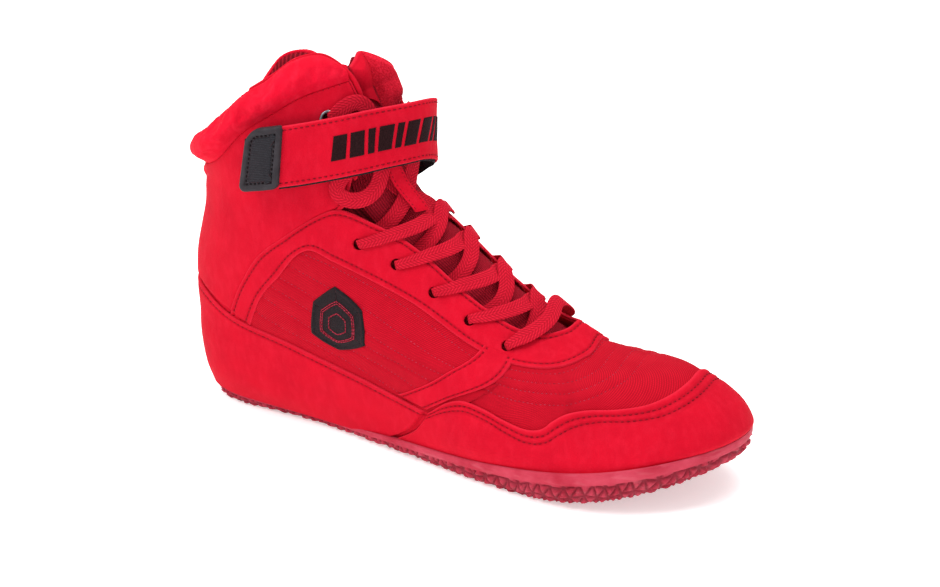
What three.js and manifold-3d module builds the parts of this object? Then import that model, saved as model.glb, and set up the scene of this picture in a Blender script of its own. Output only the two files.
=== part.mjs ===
// High boxing boot, right foot. Millimetres, +Z up, +X to the toe, -Y the outer (lateral) side.
// Every leather, mesh, foam and lining piece is a thin slab laid on one shared last surface.
// The last surface is read with two coordinates.
//   u runs round the foot: 0 heel centre, 0.25 lateral, 0.5 toe or shin ridge, 0.75 medial.
//   v runs from the feather line at the sole (0) to above the topline (1).
// A depth h is measured along the outward normal: 0 is the outer face of the leather.
import * as THREE from "three";
import Module from "manifold-3d";

const wasm = await Module();
wasm.setup();
const { Manifold, Mesh: SolidMesh } = wasm;

// Driving dimensions, mm.
const LEATHER = 1.4;
const GAP = 0.6;
const MESH_DEPTH = -2.0;
const MESH_THICKNESS = 0.8;
const STIFFENER_DEPTH = -2.2;
const STIFFENER_THICKNESS = 1.0;
const LINING_DEPTH = 3.8;
const LINING_THICKNESS = 0.8;
const TONGUE_DEPTH = -7.2;
const TONGUE_SKIN = 0.9;
const TONGUE_FOAM = 3.0;
const EYELET_RADIUS = 2.8;
const LACE_WIDTH = 6.5;
const LACE_THICKNESS = 1.2;
const STRAP_WIDTH = 28;
const STRAP_THICKNESS = 2.2;
const STRAP_SKEW = 0.4;
const SOLE_SPRING = 19;
const SOLE_SPRING_START = 186;
const SOLE_SPRING_END = 282;

// Stations of the width profile along the foot, as a share of the length of a loop.
const WIDTH_AT = [0, 0.15, 0.4, 0.65, 0.85, 1];

// Loops of the last from the feather line upward.
// Each is [back x, back z, front x, front z, mid-height bow, centre y back, centre y front,
// lateral half widths, medial half widths].
const LOOPS = [
  [3, 8, 281, 27, -11, 0, 6, [50, 32, 32, 50, 68, 67], [54, 40, 30, 42, 52, 66]],
  [0, 19, 284, 33, -10, 0, 6, [57, 40, 34, 53, 64, 70], [58, 44, 33, 45, 48, 58]],
  [-2, 34, 276, 45, -10, 0, 6, [59, 43, 36, 49, 56, 64], [60, 44, 35, 44, 41, 42]],
  [-2, 47, 254, 56, -9, 0, 6, [56, 43, 36, 45, 51, 52], [56, 42, 35, 41, 32, 27]],
  [-3, 60, 217, 61, -6, 0, 4, [50, 43, 36, 40, 41, 40], [50, 41, 35, 38, 27, 19]],
  [-2, 75, 184, 78, -3, 0, 3, [45, 42, 36, 35, 34, 33], [44, 40, 35, 34, 27, 19]],
  [1, 89, 149, 102, -1, 0, 2, [39, 40, 37, 34, 32, 31], [38, 38, 35, 33, 29, 25]],
  [4, 101, 122, 124, -2, 0, 1, [35, 37, 37, 35, 33, 31], [35, 36, 36, 34, 32, 29]],
  [5, 111, 114, 145, -3, 0, 0, [35, 37, 38, 37, 35, 33], [35, 36, 37, 35, 34, 32]],
  [6, 121, 107, 160, -2, 0, 0, [37, 39, 39, 38, 36, 34], [37, 38, 37, 35, 34, 33]],
  [8, 131, 101, 174, 0, 0, 0, [36, 38, 38, 37, 35, 33], [36, 37, 35, 33, 32, 31]],
  [10, 141, 96, 188, 0, 0, 0, [36, 37, 37, 36, 34, 33], [36, 36, 34, 32, 31, 31]],
];
const LOOP_VALUES = LOOPS.map((l) => [...l.slice(0, 7), ...l[7], ...l[8]]);
const LOOP_AT = LOOPS.map((_, i) => i / (LOOPS.length - 1));

const clamp = (x, lo, hi) => Math.min(hi, Math.max(lo, x));
const lerp = (a, b, t) => a + (b - a) * t;
const smooth = (x) => {
  const t = clamp(x, 0, 1);
  return t * t * (3 - 2 * t);
};

// Smooth interpolation of values given at knots.
function interpolate(knots, values, s) {
  const last = knots.length - 1;
  let i = 0;
  while (i < last - 1 && s >= knots[i + 1]) i += 1;
  const slope = (k) => (values[k + 1] - values[k]) / (knots[k + 1] - knots[k]);
  const tangent = (k) => {
    if (k === 0) return slope(0);
    if (k === last) return slope(last - 1);
    const before = knots[k] - knots[k - 1];
    const after = knots[k + 1] - knots[k];
    return (slope(k - 1) * after + slope(k) * before) / (before + after);
  };
  const step = knots[i + 1] - knots[i];
  const w = (s - knots[i]) / step;
  const w2 = w * w;
  const w3 = w2 * w;
  return (
    (2 * w3 - 3 * w2 + 1) * values[i] +
    (w3 - 2 * w2 + w) * step * tangent(i) +
    (3 * w2 - 2 * w3) * values[i + 1] +
    (w3 - w2) * step * tangent(i + 1)
  );
}

// A point of the last.
function last(u, v) {
  const p = LOOP_VALUES[0].map((_, k) => interpolate(LOOP_AT, LOOP_VALUES.map((l) => l[k]), v));
  const t = (1 - Math.cos(2 * Math.PI * u)) / 2;
  const s = Math.sin(2 * Math.PI * u);
  const width = interpolate(WIDTH_AT, s >= 0 ? p.slice(7, 13) : p.slice(13, 19), t);
  const x = lerp(p[0], p[2], t);
  const y = p[5] + (p[6] - p[5]) * t * t - width * s;
  const z = lerp(p[1], p[3], t) + p[4] * 4 * t * (1 - t);
  return new THREE.Vector3(x, y, z);
}

function frameAt(u, v) {
  const d = 0.002;
  const along = last(u + d, v).sub(last(u - d, v)).normalize();
  const up = last(u, v + d).sub(last(u, v - d)).normalize();
  const out = new THREE.Vector3().crossVectors(along, up).normalize();
  return { at: last(u, v), along, up, out };
}

function point(u, v, h) {
  const f = frameAt(u, v);
  return f.at.addScaledVector(f.out, h);
}

// Geometry of a closed solid from vertices and triangles, turned to face outward.
function closed(vertices, faces) {
  const edge1 = new THREE.Vector3();
  const edge2 = new THREE.Vector3();
  let volume = 0;
  faces.forEach(([a, b, c]) => {
    edge1.crossVectors(vertices[b], vertices[c]);
    volume += vertices[a].dot(edge1);
  });
  const index = faces.flatMap(([a, b, c]) => (volume > 0 ? [a, b, c] : [a, c, b]));
  const position = new Float32Array(vertices.length * 3);
  vertices.forEach((p, i) => {
    edge2.copy(p).toArray(position, i * 3);
  });
  const geometry = new THREE.BufferGeometry();
  geometry.setAttribute("position", new THREE.BufferAttribute(position, 3));
  geometry.setIndex(index);
  return geometry;
}

// Rings of points joined one to the next, with flat end caps fanned from the first point.
function sweep(rings) {
  const n = rings[0].length;
  const vertices = rings.flat();
  const faces = [];
  for (let i = 0; i < rings.length - 1; i += 1) {
    for (let j = 0; j < n; j += 1) {
      const a = i * n + j;
      const b = i * n + ((j + 1) % n);
      faces.push([a, b, b + n], [a, b + n, a + n]);
    }
  }
  const start = vertices.length;
  vertices.push(centre(rings[0]), centre(rings[rings.length - 1]));
  const end = (rings.length - 1) * n;
  for (let j = 0; j < n; j += 1) {
    const k = (j + 1) % n;
    faces.push([start, k, j], [start + 1, end + j, end + k]);
  }
  return closed(vertices, faces);
}

// A round bar along a path.
function tube(path, steps, radius) {
  const frames = path.computeFrenetFrames(steps);
  const rings = [];
  for (let i = 0; i <= steps; i += 1) {
    const ring = [];
    for (let k = 0; k < 8; k += 1) {
      const a = (k * Math.PI) / 4;
      const p = path.getPointAt(i / steps);
      p.addScaledVector(frames.normals[i], radius * Math.cos(a));
      ring.push(p.addScaledVector(frames.binormals[i], radius * Math.sin(a)));
    }
    rings.push(ring);
  }
  return sweep(rings);
}

function centre(points) {
  const sum = new THREE.Vector3();
  points.forEach((p) => sum.add(p));
  return sum.divideScalar(points.length);
}

// A slab on the last: patch(s, r) gives [u, v], top and bottom give depths at (u, v).
function slab(patch, ns, nr, top, bottom) {
  const vertices = [];
  const at = (i, j, k) => (i * (nr + 1) + j) * 2 + k;
  for (let i = 0; i <= ns; i += 1) {
    for (let j = 0; j <= nr; j += 1) {
      const [u, v] = patch(i / ns, j / nr);
      vertices.push(point(u, v, depth(top, u, v)), point(u, v, depth(bottom, u, v)));
    }
  }
  const faces = [];
  const quad = (a, b, c, d) => faces.push([a, b, c], [a, c, d]);
  for (let i = 0; i < ns; i += 1) {
    for (let j = 0; j < nr; j += 1) {
      quad(at(i, j, 0), at(i + 1, j, 0), at(i + 1, j + 1, 0), at(i, j + 1, 0));
      quad(at(i, j, 1), at(i, j + 1, 1), at(i + 1, j + 1, 1), at(i + 1, j, 1));
    }
  }
  for (let i = 0; i < ns; i += 1) {
    quad(at(i, 0, 0), at(i, 0, 1), at(i + 1, 0, 1), at(i + 1, 0, 0));
    quad(at(i, nr, 0), at(i + 1, nr, 0), at(i + 1, nr, 1), at(i, nr, 1));
  }
  for (let j = 0; j < nr; j += 1) {
    quad(at(0, j, 0), at(0, j + 1, 0), at(0, j + 1, 1), at(0, j, 1));
    quad(at(ns, j, 0), at(ns, j, 1), at(ns, j + 1, 1), at(ns, j + 1, 0));
  }
  return closed(vertices, faces);
}

const depth = (d, u, v) => (typeof d === "function" ? d(u, v) : d);

// Curves over (u, v).
function curve(points) {
  const spline = new THREE.SplineCurve(points.map(([u, v]) => new THREE.Vector2(u, v)));
  return (s) => {
    const p = spline.getPoint(clamp(s, 0, 1));
    return [p.x, p.y];
  };
}
const mirrored = (points) => points.map(([u, v]) => [1 - u, v]);
const side = (points, medial) => curve(medial ? mirrored(points) : points);
// A curve given for the lateral half, carried on round to the medial half.
const wrap = (points) => curve([...points, ...mirrored(points).reverse().slice(1)]);
const heelWrap = (points) => {
  const lateral = [...points].reverse();
  const medial = points.slice(1).map(([u, v]) => [-u, v]);
  return curve([...lateral, ...medial]);
};

const ruled = (a, b) => (s, r) => {
  const p = a(s);
  const q = b(s);
  return [lerp(p[0], q[0], r), lerp(p[1], q[1], r)];
};

// A patch inside four curves: bottom and top run with s, left and right run with r.
function coons(bottom, top, left, right) {
  return (s, r) => {
    const corners = [bottom(0), bottom(1), top(0), top(1)];
    return [0, 1].map(
      (k) =>
        lerp(bottom(s)[k], top(s)[k], r) +
        lerp(left(r)[k], right(r)[k], s) -
        lerp(lerp(corners[0][k], corners[1][k], s), lerp(corners[2][k], corners[3][k], s), r),
    );
  };
}

// Boundary curves of the pieces, lateral side, as (u, v) points.
const FOXING_TOP = [
  [0, 0.375],
  [0.05, 0.372],
  [0.09, 0.358],
  [0.126, 0.316],
  [0.166, 0.288],
  [0.191, 0.258],
  [0.215, 0.225],
  [0.237, 0.19],
  [0.256, 0.165],
];
const FOXING_BOTTOM = [
  [0, 0.008],
  [0.03, 0.006],
  [0.065, 0.005],
  [0.1, 0.005],
  [0.13, 0.005],
  [0.158, 0.005],
  [0.182, 0.005],
  [0.205, 0.005],
  [0.225, 0.005],
];
const TOE_TOP = [
  [0.26, 0.168],
  [0.275, 0.208],
  [0.289, 0.226],
  [0.3, 0.212],
  [0.309, 0.188],
  [0.32, 0.168],
  [0.33, 0.17],
  [0.34, 0.192],
  [0.352, 0.211],
  [0.368, 0.22],
  [0.388, 0.218],
  [0.412, 0.221],
  [0.44, 0.234],
  [0.47, 0.248],
  [0.5, 0.256],
];
const TOE_BOTTOM = [
  [0.229, 0.005],
  [0.248, 0.005],
  [0.266, 0.005],
  [0.282, 0.005],
  [0.297, 0.005],
  [0.312, 0.005],
  [0.327, 0.005],
  [0.343, 0.005],
  [0.36, 0.005],
  [0.38, 0.005],
  [0.402, 0.005],
  [0.426, 0.005],
  [0.45, 0.005],
  [0.475, 0.005],
  [0.5, 0.005],
];
const FACING_INNER = [
  [0.13, 0.322],
  [0.158, 0.411],
  [0.196, 0.49],
  [0.253, 0.553],
  [0.3, 0.592],
  [0.332, 0.608],
  [0.357, 0.582],
  [0.372, 0.555],
  [0.381, 0.52],
  [0.384, 0.49],
  [0.389, 0.456],
  [0.4, 0.42],
  [0.42, 0.403],
  [0.455, 0.404],
  [0.5, 0.41],
];
const FACING_OUTER = [
  [0.142, 0.306],
  [0.174, 0.412],
  [0.208, 0.478],
  [0.236, 0.52],
  [0.26, 0.538],
  [0.277, 0.519],
  [0.294, 0.5],
  [0.31, 0.48],
  [0.325, 0.456],
  [0.336, 0.425],
  [0.348, 0.385],
  [0.365, 0.35],
  [0.392, 0.338],
  [0.44, 0.356],
  [0.5, 0.376],
];
const STRIP_REAR = [
  [0.241, 0.196],
  [0.266, 0.248],
  [0.302, 0.314],
  [0.342, 0.366],
];
const STRIP_FRONT = [
  [0.257, 0.173],
  [0.283, 0.231],
  [0.318, 0.283],
  [0.355, 0.339],
];
const MESH_LEFT = [
  [0.134, 0.302],
  [0.166, 0.42],
  [0.2, 0.488],
  [0.252, 0.55],
];
const MESH_TOP = [
  [0.252, 0.55],
  [0.285, 0.524],
  [0.316, 0.49],
  [0.34, 0.44],
  [0.354, 0.376],
];
const MESH_RIGHT = [
  [0.244, 0.18],
  [0.272, 0.238],
  [0.308, 0.303],
  [0.354, 0.376],
];
const MESH_BOTTOM = [
  [0.134, 0.302],
  [0.17, 0.274],
  [0.2, 0.238],
  [0.225, 0.204],
  [0.244, 0.18],
];
const VAMP_LOW = [
  [0.276, 0.2],
  [0.291, 0.213],
  [0.302, 0.19],
  [0.318, 0.156],
  [0.332, 0.158],
  [0.35, 0.196],
  [0.372, 0.208],
  [0.405, 0.21],
  [0.45, 0.23],
  [0.5, 0.244],
];
const VAMP_HIGH = [
  [0.362, 0.364],
  [0.366, 0.362],
  [0.37, 0.36],
  [0.376, 0.356],
  [0.383, 0.352],
  [0.394, 0.35],
  [0.41, 0.354],
  [0.435, 0.366],
  [0.466, 0.38],
  [0.5, 0.386],
];
const COLLAR_SEAM = {
  lateral: [
    [0, 0.818],
    [0.05, 0.814],
    [0.1, 0.816],
    [0.163, 0.83],
    [0.224, 0.89],
    [0.273, 0.91],
    [0.326, 0.928],
    [0.378, 0.925],
    [0.412, 0.92],
  ],
  medial: [
    [1, 0.818],
    [0.95, 0.826],
    [0.912, 0.85],
    [0.86, 0.91],
    [0.8, 0.925],
    [0.74, 0.875],
    [0.68, 0.835],
    [0.62, 0.815],
    [0.588, 0.81],
  ],
};
const SHAFT_FRONT = {
  lateral: [
    [0.133, 0.334],
    [0.159, 0.421],
    [0.196, 0.501],
    [0.252, 0.565],
    [0.3, 0.605],
    [0.337, 0.627],
    [0.362, 0.67],
    [0.385, 0.73],
    [0.404, 0.79],
    [0.417, 0.85],
    [0.412, 0.915],
  ],
  medial: [
    [0.867, 0.334],
    [0.841, 0.421],
    [0.804, 0.501],
    [0.748, 0.565],
    [0.7, 0.605],
    [0.663, 0.627],
    [0.638, 0.66],
    [0.617, 0.7],
    [0.6, 0.735],
    [0.588, 0.77],
    [0.588, 0.805],
  ],
};
const ACHILLES_HALF = 0.075;

// Eyelets from the toe end upward, lateral side; the medial side mirrors them.
const EYELETS = [
  [0.377, 0.386],
  [0.364, 0.43],
  [0.353, 0.474],
  [0.339, 0.516],
  [0.317, 0.55],
];
const TOP_EYELET = { lateral: [0.363, 0.835], medial: [0.637, 0.76] };

// How deep the lining runs: close to the leather in front, padded out at the heel and ankle.
function liningDepth(u, v) {
  const w = Math.min(u, 1 - u);
  const away = smooth((0.34 - w) / 0.12);
  return -(LINING_DEPTH + away * (1.6 + 3.6 * smooth((v - 0.45) / 0.2)));
}
const liningInner = (u, v) => liningDepth(u, v) - LINING_THICKNESS;

// Cuts round holes along the surface normal.
function drilled(geometry, holes, radius) {
  let solid = new Manifold(
    new SolidMesh({
      numProp: 3,
      vertProperties: new Float32Array(geometry.getAttribute("position").array),
      triVerts: new Uint32Array(geometry.index.array),
    }),
  );
  const unit = new THREE.CylinderGeometry(radius, radius, 40, 12);
  unit.deleteAttribute("normal");
  unit.deleteAttribute("uv");
  holes.forEach(([u, v]) => {
    const f = frameAt(u, v);
    const turn = new THREE.Quaternion().setFromUnitVectors(new THREE.Vector3(0, 1, 0), f.out);
    const ring = [];
    for (let k = 0; k < 12; k += 1) {
      const a = (k * Math.PI) / 6;
      const r = new THREE.Vector3(radius * Math.cos(a), 0, radius * Math.sin(a));
      ring.push(r.applyQuaternion(turn));
    }
    const low = f.at.clone().addScaledVector(f.out, -14);
    const high = f.at.clone().addScaledVector(f.out, 5);
    const tool = sweep([ring.map((p) => p.clone().add(low)), ring.map((p) => p.clone().add(high))]);
    solid = solid.subtract(
      new Manifold(
        new SolidMesh({
          numProp: 3,
          vertProperties: new Float32Array(tool.getAttribute("position").array),
          triVerts: new Uint32Array(tool.index.array),
        }),
      ),
    );
  });
  const mesh = solid.getMesh();
  const cut = new THREE.BufferGeometry();
  cut.setAttribute("position", new THREE.BufferAttribute(mesh.vertProperties, 3));
  cut.setIndex(new THREE.BufferAttribute(mesh.triVerts, 1));
  return cut;
}

// Materials.
const plain = (color, roughness) => new THREE.MeshStandardMaterial({ color, roughness });
const SUEDE = plain("#b0182c", 0.9);
const KNIT = plain("#8e1a2a", 0.95);
const RIB = plain("#6f1420", 0.95);
const WEBBING = plain("#7d1826", 0.9);
const RUBBER = plain("#b9404a", 0.7);
const MOULDED = plain("#3c3f44", 0.5);
const HOOK_TAPE = plain("#141416", 0.85);
const FOAM = plain("#d8d4c8", 0.95);
const BOARD = plain("#5a4a3c", 0.9);
const THREAD = plain("#1c1c20", 0.7);
const METAL = plain("#8c9096", 0.35);

const boot = new THREE.Group();
boot.name = "boxing_boot";
function add(name, geometry, material) {
  const mesh = new THREE.Mesh(geometry, material);
  geometry.computeVertexNormals();
  mesh.name = name;
  boot.add(mesh);
}

// Outsole: a flat tread from heel to ball, sprung at the toe, with a faceted sidewall.
function soleBottom(x) {
  const t = clamp((x - SOLE_SPRING_START) / (SOLE_SPRING_END - SOLE_SPRING_START), 0, 1);
  return SOLE_SPRING * t * t;
}

function edgePoint(u, offset) {
  const f = frameAt(u, 0.001);
  const flat = new THREE.Vector3(f.out.x, f.out.y, 0).normalize();
  return f.at.addScaledVector(flat, offset);
}

function outsole() {
  const stations = 46;
  const rings = [];
  for (let i = 0; i <= stations; i += 1) {
    const u = lerp(0.012, 0.488, i / stations);
    const fore = smooth((u - 0.17) / 0.08);
    const wall = lerp(0.2, 1.6, fore) + (i % 2 ? 0.5 : 0) * fore;
    const inset = lerp(-5, -3.2, fore);
    const tops = [u, 1 - u].map((k) => edgePoint(k, lerp(-0.6, 1.2, fore)));
    const walls = [u, 1 - u].map((k) => edgePoint(k, wall));
    const lows = [u, 1 - u].map((k) => edgePoint(k, inset));
    lows.forEach((p) => p.setZ(soleBottom(p.x)));
    walls.forEach((p) => p.setZ(lerp(soleBottom(p.x), p.z - 0.7, 0.5)));
    tops.forEach((p) => p.setZ(p.z - 0.7));
    const ring = [];
    for (let k = 0; k <= 4; k += 1) ring.push(tops[0].clone().lerp(tops[1], k / 4));
    ring.push(walls[1]);
    for (let k = 0; k <= 4; k += 1) ring.push(lows[1].clone().lerp(lows[0], k / 4));
    ring.push(walls[0]);
    rings.push(ring);
  }
  return sweep(rings);
}

// A flat-sided board lying just over the outsole.
function board(inset, low, high) {
  const stations = 24;
  const rings = [];
  for (let i = 0; i <= stations; i += 1) {
    const u = lerp(0.02, 0.48, i / stations);
    const edges = [u, 1 - u].map((k) => edgePoint(k, -inset));
    const ring = [];
    const lift = new THREE.Vector3(0, 0, 1);
    for (let k = 0; k <= 4; k += 1) {
      ring.push(edges[0].clone().lerp(edges[1], k / 4).addScaledVector(lift, high));
    }
    for (let k = 4; k >= 0; k -= 1) {
      ring.push(edges[0].clone().lerp(edges[1], k / 4).addScaledVector(lift, low));
    }
    rings.push(ring);
  }
  return sweep(rings);
}

add("outsole", outsole(), RUBBER);
add("insole_board", board(6.6, 0.1, 2.1), BOARD);
add("sockliner", board(8.6, 2.5, 6), KNIT);

// Leather panels.
const foxing = ruled(heelWrap(FOXING_BOTTOM), heelWrap(FOXING_TOP));
add("foxing", slab(foxing, 36, 4, 0, -LEATHER), SUEDE);

const toeCap = ruled(wrap(TOE_BOTTOM), wrap(TOE_TOP));
add("toe_cap", slab(toeCap, 52, 4, 0, -LEATHER), SUEDE);

const vamp = ruled(wrap(VAMP_LOW), wrap(VAMP_HIGH));
add("vamp_mesh", slab(vamp, 34, 8, MESH_DEPTH, MESH_DEPTH - MESH_THICKNESS), KNIT);

const eyestay = ruled(wrap(FACING_INNER), wrap(FACING_OUTER));
const allEyelets = [...EYELETS, ...mirrored(EYELETS)];
add("eyestay", drilled(slab(eyestay, 54, 4, 0, -LEATHER), allEyelets, EYELET_RADIUS), SUEDE);

const SIDES = [
  ["lateral", false],
  ["medial", true],
];
SIDES.forEach(([name, medial]) => {
  const turn = (points) => side(points, medial);
  const strip = ruled(turn(STRIP_REAR), turn(STRIP_FRONT));
  add("side_strip_" + name, slab(strip, 8, 3, 0, -LEATHER), SUEDE);
  const quarter = coons(turn(MESH_BOTTOM), turn(MESH_TOP), turn(MESH_LEFT), turn(MESH_RIGHT));
  const knit = slab(quarter, 9, 7, MESH_DEPTH, MESH_DEPTH - MESH_THICKNESS);
  add("quarter_mesh_" + name, knit, KNIT);
});

// Ankle panels run from the foxing to the collar seam, split at the back by the Achilles pad.
function anklePatch(name, medial, rear, lift) {
  const sign = medial ? 1 : -1;
  const home = medial ? 1 : 0;
  const back = curve([
    [home - sign * rear, 0.386 + lift],
    [home - sign * rear, 0.5],
    [home - sign * rear, 0.6],
    [home - sign * (rear + 0.01), 0.68],
    [home - sign * (ACHILLES_HALF + 0.006), 0.73],
    [home - sign * (ACHILLES_HALF + 0.014), 0.77],
    [home - sign * (ACHILLES_HALF + 0.012), 0.808],
  ]);
  const low = side(
    [
      [rear, 0.386 + lift],
      [0.05, 0.383 + lift],
      [0.09, 0.37 + lift],
      [0.133, 0.334 + lift],
    ],
    medial,
  );
  const seam = COLLAR_SEAM[name].map(([u, v]) => [u, v - 0.005]).slice(2);
  seam[0] = back(1);
  return coons(low, curve(seam), back, curve(SHAFT_FRONT[name]));
}
SIDES.forEach(([name, medial]) => {
  const patch = anklePatch(name, medial, 0.004, 0);
  const panel = slab(patch, 11, 14, 0, -LEATHER);
  const holes = [TOP_EYELET[name]];
  add("ankle_panel_" + name, drilled(panel, holes, EYELET_RADIUS), SUEDE);
});

// A padded panel over the Achilles tendon.
const achilles = coons(
  curve([
    [-ACHILLES_HALF, 0.76],
    [-0.04, 0.716],
    [0, 0.706],
    [0.04, 0.716],
    [ACHILLES_HALF, 0.76],
  ]),
  curve([
    [-ACHILLES_HALF, 0.812],
    [-0.04, 0.806],
    [0, 0.806],
    [0.04, 0.802],
    [ACHILLES_HALF, 0.8],
  ]),
  (r) => [-ACHILLES_HALF, lerp(0.76, 0.812, r)],
  (r) => [ACHILLES_HALF, lerp(0.76, 0.8, r)],
);
const puff = (u, v) => {
  const across = Math.cos((clamp(u / ACHILLES_HALF, -1, 1) * Math.PI) / 2);
  const up = Math.sin(Math.PI * clamp((v - 0.69) / 0.12, 0, 1));
  return 3 * across * up;
};
add("achilles_panel", slab(achilles, 12, 6, puff, -LEATHER), SUEDE);

// Collar: a padded roll standing on the collar seam.
const COLLAR_STATIONS = [...COLLAR_SEAM.lateral].reverse();
const COLLAR_RUN = [...COLLAR_STATIONS, ...COLLAR_SEAM.medial.slice(1).map(([u, v]) => [u - 1, v])];
const COLLAR_HEIGHT = [6, 14, 17, 19, 19, 18, 15, 15, 16, 17, 18, 19, 19, 18, 16, 13, 6];
const COLLAR_BULGE = [1, 3, 4, 4, 4.5, 5.5, 6, 6.5, 6.5, 6, 5.5, 4.5, 4, 4, 4, 3, 1];
const collarPath = curve(COLLAR_RUN);
const COLLAR_AT = COLLAR_RUN.map((_, i) => i / (COLLAR_RUN.length - 1));

function collarSection(s, outline) {
  const [u, v] = collarPath(s);
  const f = frameAt(u, v);
  const height = interpolate(COLLAR_AT, COLLAR_HEIGHT, s);
  const bulge = interpolate(COLLAR_AT, COLLAR_BULGE, s);
  return outline(height, bulge).map(([across, up]) =>
    f.at.clone().addScaledVector(f.out, across).addScaledVector(f.up, up),
  );
}

const collarSkin = (h, b) => [
  [0, 0.4],
  [b * 0.8, h * 0.22],
  [b, h * 0.48],
  [b * 0.7, h * 0.76],
  [-1.6, h * 0.96],
  [-5, h],
  [-8.4, h * 0.9],
  [-10, h * 0.62],
  [-9, h * 0.6],
  [-7.6, h * 0.8],
  [-5, h - 1.3],
  [-2.4, h * 0.96 - 1.3],
  [b * 0.7 - 1.3, h * 0.7],
  [b - 1.3, h * 0.48],
  [b * 0.8 - 1.3, h * 0.26],
  [-1.3, 0.8],
];
const collarFoam = (h, b) => [
  [-1.9, 1.4],
  [b * 0.8 - 2.1, h * 0.28],
  [b - 2.1, h * 0.48],
  [b * 0.7 - 2.3, h * 0.66],
  [-3.2, h * 0.88 - 1.4],
  [-5, h * 0.9 - 1.6],
  [-7, h * 0.72],
  [-7.4, h * 0.5],
  [-7.4, h * 0.3],
  [-6.4, 1.6],
];
const COLLAR_STEPS = 34;
function collarSweep(outline, from, to) {
  const rings = [];
  for (let i = 0; i <= COLLAR_STEPS; i += 1) {
    rings.push(collarSection(lerp(from, to, i / COLLAR_STEPS), outline));
  }
  return sweep(rings);
}
add("collar_panel", collarSweep(collarSkin, 0, 1), SUEDE);
add("collar_foam", collarSweep(collarFoam, 0.015, 0.985), FOAM);

// Rolled binding down the front edge of each side of the shaft.
SIDES.forEach(([name, medial]) => {
  const forward = medial ? -0.008 : 0.008;
  const points = SHAFT_FRONT[name].slice(6).map(([u, v]) => {
    const f = frameAt(u + forward, v);
    return f.at.addScaledVector(f.out, -1.2);
  });
  add("front_binding_" + name, tube(new THREE.CatmullRomCurve3(points), 12, 1.3), SUEDE);
});

// Stiffeners and padding between leather and lining.
const counter = ruled(
  heelWrap([
    [0, 0.03],
    [0.05, 0.03],
    [0.1, 0.03],
    [0.15, 0.03],
  ]),
  heelWrap([
    [0, 0.33],
    [0.05, 0.32],
    [0.1, 0.27],
    [0.14, 0.22],
  ]),
);
const stiffenerInner = STIFFENER_DEPTH - STIFFENER_THICKNESS;
add("heel_counter", slab(counter, 20, 4, STIFFENER_DEPTH, stiffenerInner), BOARD);
const toePuff = ruled(
  wrap([
    [0.38, 0.03],
    [0.42, 0.03],
    [0.46, 0.03],
    [0.5, 0.03],
  ]),
  wrap([
    [0.39, 0.17],
    [0.42, 0.18],
    [0.46, 0.195],
    [0.5, 0.2],
  ]),
);
add("toe_puff", slab(toePuff, 20, 4, -2.2, -3.1), BOARD);

SIDES.forEach(([name, medial]) => {
  const fix = (points) => side(points, medial);
  const pad = coons(
    fix([
      [0.012, 0.42],
      [0.06, 0.42],
      [0.11, 0.43],
    ]),
    fix([
      [0.012, 0.67],
      [0.1, 0.71],
      [0.17, 0.745],
      [0.25, 0.745],
    ]),
    fix([
      [0.012, 0.42],
      [0.012, 0.54],
      [0.012, 0.67],
    ]),
    fix([
      [0.11, 0.43],
      [0.17, 0.53],
      [0.225, 0.6],
      [0.25, 0.745],
    ]),
  );
  const inside = (u, v) => liningDepth(u, v) + 0.6;
  add("ankle_foam_" + name, slab(pad, 10, 8, -2.5, inside), FOAM);
});

// Linings.
SIDES.forEach(([name, medial]) => {
  const sign = medial ? 1 : -1;
  const home = medial ? 1 : 0;
  const back = (r) => [home - sign * 0.003, lerp(0.06, 0.808, r)];
  const low = side(
    [
      [0.003, 0.06],
      [0.1, 0.06],
      [0.19, 0.06],
      [0.26, 0.06],
    ],
    medial,
  );
  const seam = COLLAR_SEAM[name].map(([u, v]) => [u, v - 0.01]);
  const front = SHAFT_FRONT[name].slice(5).map(([u, v]) => [u, v]);
  front[front.length - 1] = seam[seam.length - 1];
  const lowerFront = [
    [0.26, 0.06],
    [0.3, 0.2],
    [0.345, 0.33],
    [0.378, 0.42],
    [0.377, 0.5],
    [0.36, 0.565],
  ];
  const turned = medial ? mirrored(lowerFront) : lowerFront;
  const patch = coons(low, curve([back(1), ...seam.slice(1)]), back, curve([...turned, ...front]));
  const sheet = slab(patch, 11, 16, liningDepth, liningInner);
  const eyelets = medial ? mirrored(EYELETS) : EYELETS;
  const holes = [...eyelets, TOP_EYELET[name]];
  add("quarter_lining_" + name, drilled(sheet, holes, EYELET_RADIUS + 0.3), RIB);
});
const vampLining = ruled(
  wrap([
    [0.268, 0.06],
    [0.31, 0.06],
    [0.36, 0.06],
    [0.42, 0.06],
    [0.5, 0.06],
  ]),
  wrap([
    [0.354, 0.33],
    [0.374, 0.35],
    [0.395, 0.378],
    [0.44, 0.385],
    [0.5, 0.395],
  ]),
);
add("vamp_lining", slab(vampLining, 26, 9, -LINING_DEPTH, -LINING_DEPTH - LINING_THICKNESS), RIB);

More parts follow.
